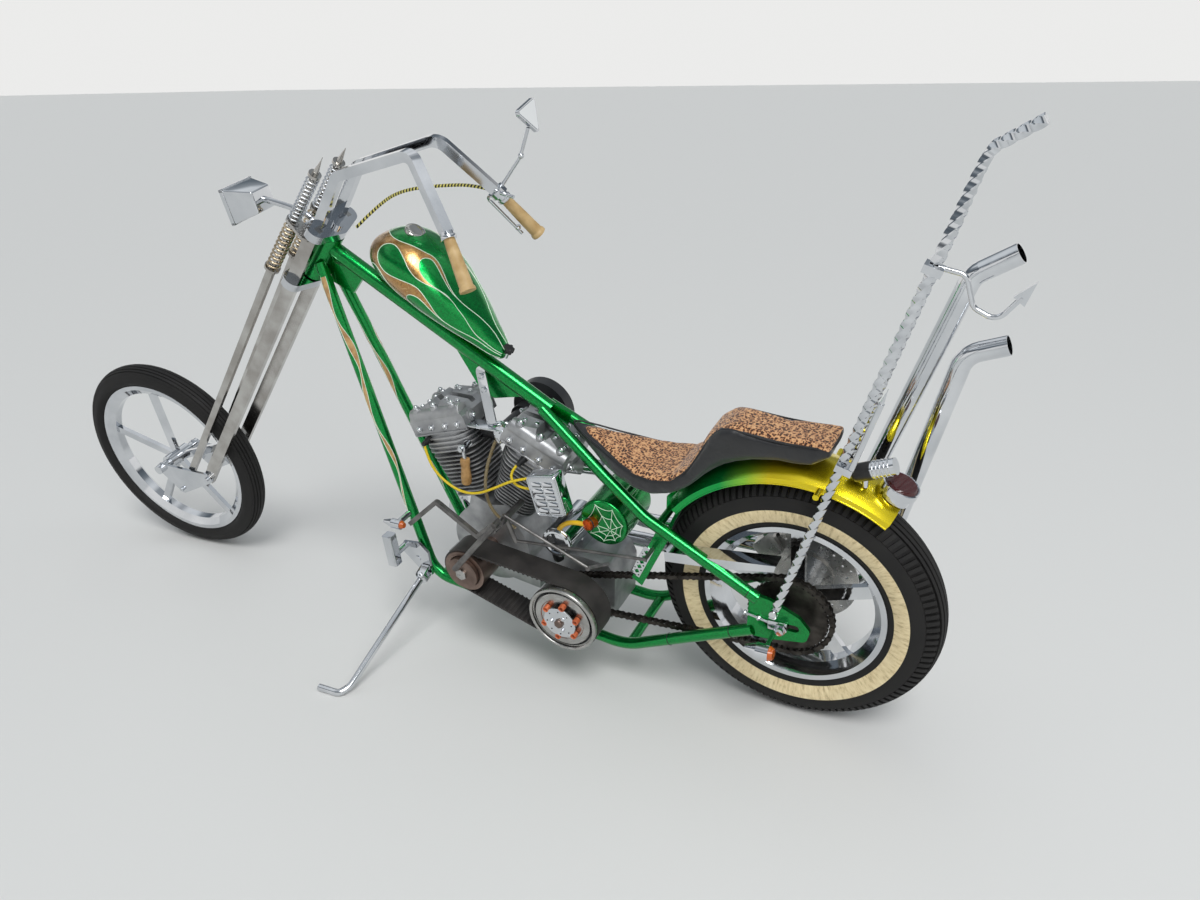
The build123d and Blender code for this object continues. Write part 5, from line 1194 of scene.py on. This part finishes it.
# Head stay: a polished strap with two bolts, and an oval cap over a small chromed pot
stay = {
    "top": (823, 12, 832), "foot": (786, 50, 708), "wide": 30, "thick": 5, "pot": (763, 52, 664),
    "cap": (763, 52, 703),
}
stayTop, stayFoot = mm(*stay["top"]), mm(*stay["foot"])
down = (stayFoot - stayTop).normalized()
outward = (Vector((0.05, 1, 0.2)) - down * Vector((0.05, 1, 0.2)).dot(down)).normalized()
stayTurn = Matrix((down.cross(outward), down, outward)).transposed().to_4x4()
stayTurn.translation = (stayTop + stayFoot) / 2
strap = block((0, 0, 0), (stay["wide"], (stayFoot - stayTop).length * 1000, stay["thick"]), 1.2)
upper = startPiece(
    "cylinder", vertices=48, radius=stay["wide"] / 2000, depth=stay["thick"] / 1000,
    location=(0, -(stayFoot - stayTop).length / 2, 0),
)
straps = setDown(join([strap, softened(setDown(upper), 1.2)]), stayTurn)
bracket = block((800, 48, 700), (110, 40, 5), 1.2)
pot = setDown(
    turned([(0, 0), (15, 0), (18, 4), (19, 30), (17, 36), (0, 36)], 48), Matrix.Translation(mm(*stay["pot"])),
)
bolts = copiesAt(
    setDown(turned([(0, 6), (5, 6), (7.5, 4), (7.5, 0), (11, 0), (11, -2)], 24)),
    [stayTurn @ Matrix.Translation(mm(0, y, 3)) for y in (-58, -22)],
)
settle(join([straps, bracket, pot, bolts]), "headStayStrap", "chromePlate", hides=("head_stay",))
cap = turned([(0, 6.5), (16, 6), (21, 5), (22, 2.5), (25, 1.5), (26, -1), (25, -3), (0, -3)], 64)
setDown(cap, aimed(mm(*stay["cap"]), (0.15, 0.5, 0.85)) @ Matrix.Diagonal((1.0, 0.74, 1.0, 1.0)))
settle(cap, "ovalCap", "chromePlate")

# Starter end cap: a chromed cup with crossed black ribs
starter = {"centre": (599, 112, 425), "radius": 40}
ring = turned([(28, 2), (31, 4.5), (37, 4.5), (40.5, 2), (41.5, -2)], 64)
ring.data.transform(aimed(mm(*starter["centre"]), (0, 1, 0)))
settle(ring, "starterRing", "chromePlate")
ribs = [
    startPiece(
        "cube", size=1, location=mm(starter["centre"][0], 113.5, starter["centre"][2]),
        rotation=(0, math.radians(turn), 0), scale=(0.06, 0.003, 0.005),
    )
    for turn in (20, 110)
]
settle(join(ribs), "starterRibs", "satinBlackAndPaintedShade")


# Oil tank: spider web in pale lines, and the faceted orange cap
web = {
    "centre": (459, 473), "tank": (478, 490), "reach": 56, "face": 75.4,
    "spokes": (10, 62, 100, 150, 205, 250, 300, 340), "rings": (0.97, 0.55),
}


def webPoint(angle, share):
    # from the web's centre towards the rim, on the tank's flat face
    cx, cz = web["centre"]
    tx, tz = web["tank"]
    dx, dz = math.cos(math.radians(angle)), math.sin(math.radians(angle))
    offX, offZ = cx - tx, cz - tz
    along = -(offX * dx + offZ * dz) + math.sqrt((offX * dx + offZ * dz) ** 2 + web["reach"] ** 2 - offX**2 - offZ**2)
    return mm(cx + dx * along * share, web["face"], cz + dz * along * share)


threads = []
spokes = web["spokes"]
for k, angle in enumerate(spokes):
    threads.append(
        rod([webPoint(angle, 0.06), webPoint(angle, 0.5), webPoint(angle, 1.0)], 0.75, resolution=3, sides=1)
    )
    following = spokes[(k + 1) % len(spokes)] + (360 if k == len(spokes) - 1 else 0)
    for share in web["rings"]:
        middle = (angle + following) / 2
        threads.append(
            rod(
                [webPoint(angle, share), webPoint(middle, share * 0.72), webPoint(following, share)], 0.75,
                resolution=6, sides=1,
            )
        )
settle(join(threads), "oilTankWeb", "palePinstripe", angle=60)
orange = softened(pegAt(mm(504, 72, 488), (0.3, 1, 0.1), 15.5, 30, 8), 2.5, 2, 30)
settle(orange, "oilCapFaceted", "orangeAnodised", hides=("oil_cap",))
band = pegAt(mm(509, 89, 489), (0.3, 1, 0.1), 16.6, 3.5, 32, 0.8)
settle(band, "oilCapBand", "satinBlackAndPaintedShade")
print("oil tank")


# Mirror glass, lever ball, bar collars and a strip of red tape at the risers
controlStart = forkPoint(-279, -129, 487)
controlEnd = forkPoint(-378, -170, 450)
alongGrip = (controlEnd - controlStart).normalized()
forkUp = (forkPoint(0, 0, 1) - forkPoint(0, 0, 0)).normalized()
stemTop = controlStart - alongGrip * 0.014 + forkUp * 0.118
mirrorFace = Vector((-1, 0, 0.15)).normalized()
mirrorUp = mirrorFace.cross(Vector((0, 1, 0))).normalized()
mirrorSpot = stemTop + mm(-18, -14, 84) + mirrorFace * 0.0092
corners = [(-46, -30), (40, -20.5), (-27, 39)]
outline = []
for k, (x, y) in enumerate(corners):
    # each corner is cut by points towards the one before it and the one after it
    (px, py), (nx, ny) = corners[k - 1], corners[(k + 1) % 3]
    outline += [(x + (px - x) * share, y + (py - y) * share) for share in (0.14, 0.07)]
    outline += [(x + (nx - x) * share, y + (ny - y) * share) for share in (0.07, 0.14)]
glassRows = []
for lift in (0.0, 0.0012):
    glassRows.append([mirrorSpot + mm(0, x, 0) + mirrorUp * y / 1000 + mirrorFace * lift for x, y in outline])
settle(lofted(glassRows), "mirrorGlass", "silveredGlass", "steering")
ball = startPiece(
    "uv_sphere", radius=0.0085, segments=24, ring_count=12,
    location=controlStart - alongGrip * 0.014 + Vector((1, 0, 0)) * 0.044 + alongGrip * 0.13,
)
stemBall = startPiece("uv_sphere", radius=0.0075, segments=24, ring_count=12, location=stemTop)
settle(join([ball, stemBall]), "leverBalls", "chromePlate", "steering", angle=60)
collars, rings = [], []
for side in (1, -1):
    start = forkPoint(-279, side * 129, 487)
    along = (forkPoint(-378, side * 170, 450) - start).normalized()
    collars.append(pegAt(start + along * 0.004, along, 18.5, 9, 48, 1.5))
    for k in range(9):
        ringRadius = 13.6 + 2.4 * k / 8
        ring = startPiece(
            "torus", major_radius=ringRadius / 1000, minor_radius=0.0009, major_segments=40, minor_segments=6,
        )
        ring.data.transform(aimed(start + along * (0.03 + 0.011 * k), along))
        rings.append(ring)
settle(join(collars), "gripCollars", "chromePlate", "steering")
settle(join(rings), "gripRings", "agedTanRubber", "steering", angle=60)
tape = pegAt(forkPoint(26, 30, 196), forkPoint(0, 0, 1) - forkPoint(0, 0, 0), 4.5, 80)
settle(tape, "wiringSleeve", "mouldedBlackPlastic", "steering")
tapes = [pegAt(forkPoint(26, 30, up), forkPoint(0, 0, 1) - forkPoint(0, 0, 0), 6.2, 9, 24, 1.0) for up in (206, 224)]
settle(join(tapes), "redTapeBands", "redTape", "steering")
print("hand controls")


# Headlamp: a box that tapers back, with a bevelled bezel, glass and a stem to the spring bracket
headlamp = {"front": (1490, 0, 1240), "face": (112, 90), "rear": (68, 56), "deep": 74, "bezel": 12, "glass": (100, 78)}
lampAxis = Vector((1, 0, -0.1)).normalized()
lampPlace = Matrix((Vector((0, 1, 0)), Vector((0.1, 0, 1)).normalized(), lampAxis)).transposed().to_4x4()
lampPlace.translation = mm(*headlamp["front"])
faceWide, faceHigh = headlamp["face"]
corners = [(-1, -1), (1, -1), (1, 1), (-1, 1)]
lampRows = []
for (wide, high), z in ((headlamp["rear"], -headlamp["deep"]), (headlamp["face"], 0)):
    lampRows.append([mm(x * wide / 2, y * high / 2, z) for x, y in corners])
shell = softened(lofted(lampRows), 4, 4, 20)
bars = []
for x, y, w, h in ((0, 1, 1, 0), (0, -1, 1, 0), (1, 0, 0, 1), (-1, 0, 0, 1)):
    wide = faceWide + 4 if w else 9
    high = faceHigh + 4 if h else 9
    bars.append(block((x * (faceWide - 5) / 2, y * (faceHigh - 5) / 2, 4), (wide, high, headlamp["bezel"]), 2.5, 3))
lampShell = setDown(join([shell] + bars), lampPlace)
stem = rod(
    [forkPoint(60, 0, 136), forkPoint(85, 0, 150), mm(*headlamp["front"]) - lampAxis * (headlamp["deep"] - 4) / 1000],
    8,
)
platePlace = Matrix.Translation(forkPoint(58, 0, 137)) @ Matrix.Rotation(-math.radians(stance["rake"]), 4, "Y")
crossPlate = setDown(block((0, 0, 0), (16, 66, 6), 1.0), platePlace)
settle(join([lampShell, stem, crossPlate]), "headlampShell", "chromePlate", "steering", hides=("headlamp",))
glass = block((0, 0, 4), (*headlamp["glass"], 7), 2, 3)
settle(
    setDown(glass, lampPlace), "headlampGlass", "clearLampGlass", "steering", hides=("headlamp_lens",),
)
print("headlamp")


# Rear axle: chromed adjuster blocks in the slots, with screws ahead of them, and dark welded rings on the rails
adjusters, sockets = [], []
for side in (1, -1):
    adjusters.append(block((10, side * 130, 346), (46, 9, 26), 2, 2))
    adjusters.append(pegAt(mm(30, side * 130, 350), (1, 0, 0.22), 3.5, 62))
    adjusters.append(pegAt(mm(52, side * 130, 355), (1, 0, 0.22), 7, 7, 6, 0.8))
    adjusters.append(pegAt(mm(86, side * 130, 362.5), (1, 0, 0.22), 6, 6, 6, 0.8))
    # a black square at each axle end paints the shade in its socket
    sockets.append(block((2, side * 135, 346), (19, 3, 19), 1.0))
settle(join(adjusters), "axleAdjusters", "chromePlate")
settle(join(sockets), "axleSocketShade", "satinBlackAndPaintedShade")
railRadius = 15.0
rails = {
    "upper": ((350, 92, 546), (60, 122, 405), (83,)),
    "lower": ((430, 104, 133), (72, 122, 312), (297, 128)),
}
seams = []
for start, end, stations in rails.values():
    for station in stations:
        for side in (1, -1):
            a, b = mm(start[0], side * start[1], start[2]), mm(end[0], side * end[1], end[2])
            share = (station / 1000 - a.x) / (b.x - a.x)
            seam = startPiece(
                "torus", major_radius=railRadius / 1000, minor_radius=0.0012, major_segments=48, minor_segments=6,
            )
            seam.data.transform(aimed(a.lerp(b, share), b - a))
            seams.append(seam)
settle(join(seams), "railSeams", "satinBlackAndPaintedShade", angle=60)

# Pierced chrome plate on the left strut, and its bolts
plateTop, plateFoot = mm(338, 107, 470), mm(384, 107, 378)
plateLine = (plateFoot - plateTop).normalized()
plateAcross = Vector((0, 1, 0)).cross(plateLine).normalized()
plateTurn = Matrix((plateAcross, Vector((0, 1, 0)), plateLine)).transposed().to_4x4()
plateTurn.translation = (plateTop + plateFoot) / 2
plateLength = (plateFoot - plateTop).length
plate = block((0, 0, 0), (27, 3, plateLength * 1000), 1.0)
cutters = []
for k in range(5):
    z = (k - 2) * 0.0175
    cutters.append(
        startPiece("cylinder", vertices=4, radius=0.0072, depth=0.02, location=(0, 0, z), rotation=(math.pi / 2, 0, 0))
    )
    for side in (1, -1):
        cutters.append(
            startPiece(
                "cylinder", vertices=16, radius=0.0024, depth=0.02, location=(side * 0.0085, 0, z + 0.00875),
                rotation=(math.pi / 2, 0, 0),
            )
        )
cutter = join(cutters)
piercing = plate.modifiers.new("piercing", "BOOLEAN")
piercing.object = cutter
bpy.context.view_layer.objects.active = plate
bpy.ops.object.modifier_apply(modifier=piercing.name)
bpy.data.objects.remove(cutter)
plate.data.transform(plateTurn)
settle(plate, "piercedStrutPlate", "chromePlate")

# Rolled edges of the guard
edges = []
for side in (1, -1):
    route = []
    for step in range(23):
        angle = math.radians(38 + (126 - 38) * step / 22)
        route.append(mm(352 * math.cos(angle), side * 73.2, 345 + 352 * math.sin(angle)))
    edges.append(rod(route, 2.4, resolution=2, sides=2))
settle(join(edges), "guardEdges", "candyFade", angle=60)

# Bullet lamp on the guard: black nose and chromed ribs
bulletFront, bulletAxis = mm(-130, 30, 730), Vector((-82, 0, 33)).normalized()
nose = turned([(0, -10), (9, -9.5), (15, -7), (19, -3), (20.6, 2), (20.6, 36), (0, 36)], 40)
nose.data.transform(aimed(bulletFront, bulletAxis))
settle(nose, "bulletNose", "mouldedBlackPlastic")
ribbing = copiesAt(
    startPiece("torus", major_radius=0.0192, minor_radius=0.0016, major_segments=40, minor_segments=8),
    [aimed(bulletFront + bulletAxis * (0.042 + 0.0085 * k), bulletAxis) for k in range(5)],
)
settle(ribbing, "bulletRibs", "chromePlate", angle=60)
lensRing = turned([(36, 0), (37.5, 3.5), (40, 4.5), (42.5, 3), (42.5, -14)], 64)
lensRing.data.transform(aimed(mm(-220, 0, 700), (-0.4, 0, 0.92)))
settle(lensRing, "tailLensRing", "chromePlate")


# Flames down the front tubes: gold leaf tongues between pale lines, ending in a point
tubeFlames = {
    "top": (1268, 22, 1090), "foot": (1036, 97, 204), "from": 0.04, "to": 0.8, "steps": 60, "wave": 34,
    "tongues": ((-20, 0.0, 2.3), (160, 2.6, 2.0)),
}
tongues, outlines = [], []
for side in (1, -1):
    x, y, z = tubeFlames["top"]
    tubeTop = mm(x, side * y, z)
    x, y, z = tubeFlames["foot"]
    tubeLine = mm(x, side * y, z) - tubeTop
    axis = tubeLine.normalized()
    outward = Vector((0, side, 0))
    outward = (outward - axis * outward.dot(axis)).normalized()
    ahead = axis.cross(outward) * side
    for middle, phase, waves in tubeFlames["tongues"]:
        left, right, points = [], [], []
        for step in range(tubeFlames["steps"] + 1):
            share = step / tubeFlames["steps"]
            along = tubeFlames["from"] + (tubeFlames["to"] - tubeFlames["from"]) * share
            swing = middle + tubeFlames["wave"] * math.sin(2 * math.pi * waves * share + phase)
            half = (26 + 15 * math.sin(4 * math.pi * waves * share + phase)) * (1 - share) ** 0.6
            for k in range(5):
                angle = math.radians(swing + half * (k / 2 - 1))
                normal = outward * math.cos(angle) + ahead * math.sin(angle)
                points.append(tubeTop + tubeLine * along + normal * (railRadius + 0.35) / 1000)
                if k in (0, 4):
                    (left if k == 0 else right).append(tubeTop + tubeLine * along + normal * (railRadius + 0.4) / 1000)
        tongues.append(
            pieceFrom(
                points,
                [
                    (row * 5 + k, row * 5 + k + 1, row * 5 + k + 6, row * 5 + k + 5)
                    for row in range(tubeFlames["steps"])
                    for k in range(4)
                ],
            )
        )
        outlines += [rod(left, 0.85, resolution=1, sides=2), rod(right, 0.85, resolution=1, sides=2)]
settle(join(tongues), "downTubeFlames", "goldLeafFlame", angle=60)
settle(join(outlines), "downTubePinstripes", "palePinstripe", angle=60)
print("flames")

# Front pulley: hub nut and three socket screws
pulleyFace = mm(844, 208, 332)
pulleyNut = pegAt(pulleyFace, (0, 1, 0), 17, 9, 6, 1.5)
screws = copiesAt(
    turned([(0, 1), (2.2, 1), (2.2, 4), (4.4, 4), (4.4, 0)], 12), ringOf(mm(844, 202, 332), (0, 1, 0), 3, 0.033, 0.4),
)
settle(join([pulleyNut, screws]), "pulleyNut", "turnedAluminium")
print("trim")


# Floor, light and camera
studio = {
    "floor": "#dadad8",
    "floorSize": 400.0,
    "sky": 0.95,
    "sun": {"strength": 1.5, "spread": 25.0, "from": (-2.0, 3.0, 5.0)},
    "lamps": [((-3.5, 3.0, 3.5), 60, 2.0)],
}
bpy.ops.mesh.primitive_plane_add(size=studio["floorSize"], location=(0, 0, -0.0005))
floor = bpy.context.object
floor.name = "floor"
newFinish("paleFloor", {"Base Color": studio["floor"], "Roughness": 0.9, "Specular IOR Level": 0.1})
floor.data.materials.append(made["paleFloor"])

# Plain and pale up to 15 degrees over the horizon; above that darker bands and patches for the bright metal to mirror
world = bpy.context.scene.world or bpy.data.worlds.new("studio")
bpy.context.scene.world = world
world.use_nodes = True
tree = world.node_tree
upward = addNode(tree, "SeparateXYZ", {}, {0: addNode(tree, "TexCoord").outputs["Generated"]})
height = addNode(tree, "MapRange", {1: -0.1, 2: 1.0, 3: 0.0, 4: 1.0}, {0: upward.outputs[2]})
shade = addNode(
    tree, "ValToRGB",
    {
        "stops": [
            (0.0, "#f1f1f0"), (0.33, "#f1f1f0"), (0.4, "#4a5057"), (0.5, "#626a72"), (0.62, "#dfe4e8"),
            (1.0, "#f4f6f8"),
        ]
    },
    {0: height.outputs[0]},
)
clouds = addNode(
    tree, "TexNoise", {"Scale": 2.2, "Detail": 1}, {"Vector": addNode(tree, "TexCoord").outputs["Generated"]},
)
cloudy = addNode(tree, "MapRange", {1: 0.42, 2: 0.56, 3: 0.0, 4: 0.75}, {0: clouds.outputs["Fac"]})
high = addNode(tree, "MapRange", {1: 0.33, 2: 0.45}, {0: height.outputs[0]})
highClouds = addNode(tree, "Math", {"operation": "MULTIPLY"}, {0: cloudy.outputs[0], 1: high.outputs[0]})
dimmed = addNode(
    tree, "Mix", {"data_type": "RGBA", 7: "#6f7880"}, {0: highClouds.outputs[0], 6: shade.outputs["Color"]},
)
back = tree.nodes["Background"]
back.inputs["Strength"].default_value = studio["sky"]
tree.links.new(dimmed.outputs[2], back.inputs["Color"])

bpy.ops.object.light_add(type="SUN", location=studio["sun"]["from"])
sun = bpy.context.object
sun.data.energy = studio["sun"]["strength"]
sun.data.angle = math.radians(studio["sun"]["spread"])
sun.rotation_euler = Vector(studio["sun"]["from"]).to_track_quat("Z", "Y").to_euler()
for place, power, size in studio["lamps"]:
    bpy.ops.object.light_add(type="AREA", location=place)
    lamp = bpy.context.object
    lamp.data.energy = power
    lamp.data.size = size
    lamp.rotation_euler = (Vector((0, 0, 0.5)) - Vector(place)).to_track_quat("-Z", "Y").to_euler()

view = {
    "place": (-527.9, 2022.8, 1163.6), "right": (-0.8874, -0.4609, -0.0128), "up": (0.1552, -0.3247, 0.9329),
    "focalPixels": 960.85,
}
right = Vector(view["right"]).normalized()
up = Vector(view["up"])
up = (up - right * up.dot(right)).normalized()
backward = right.cross(up)
bpy.ops.object.camera_add(location=rearSpin + Vector(view["place"]) / 1000)
camera = bpy.context.object
camera.rotation_euler = Matrix((right, up, backward)).transposed().to_euler()
camera.data.sensor_width = 36.0
camera.data.lens = 36.0 * view["focalPixels"] / 1200
bpy.context.scene.camera = camera
bpy.context.scene.view_settings.view_transform = "Standard"
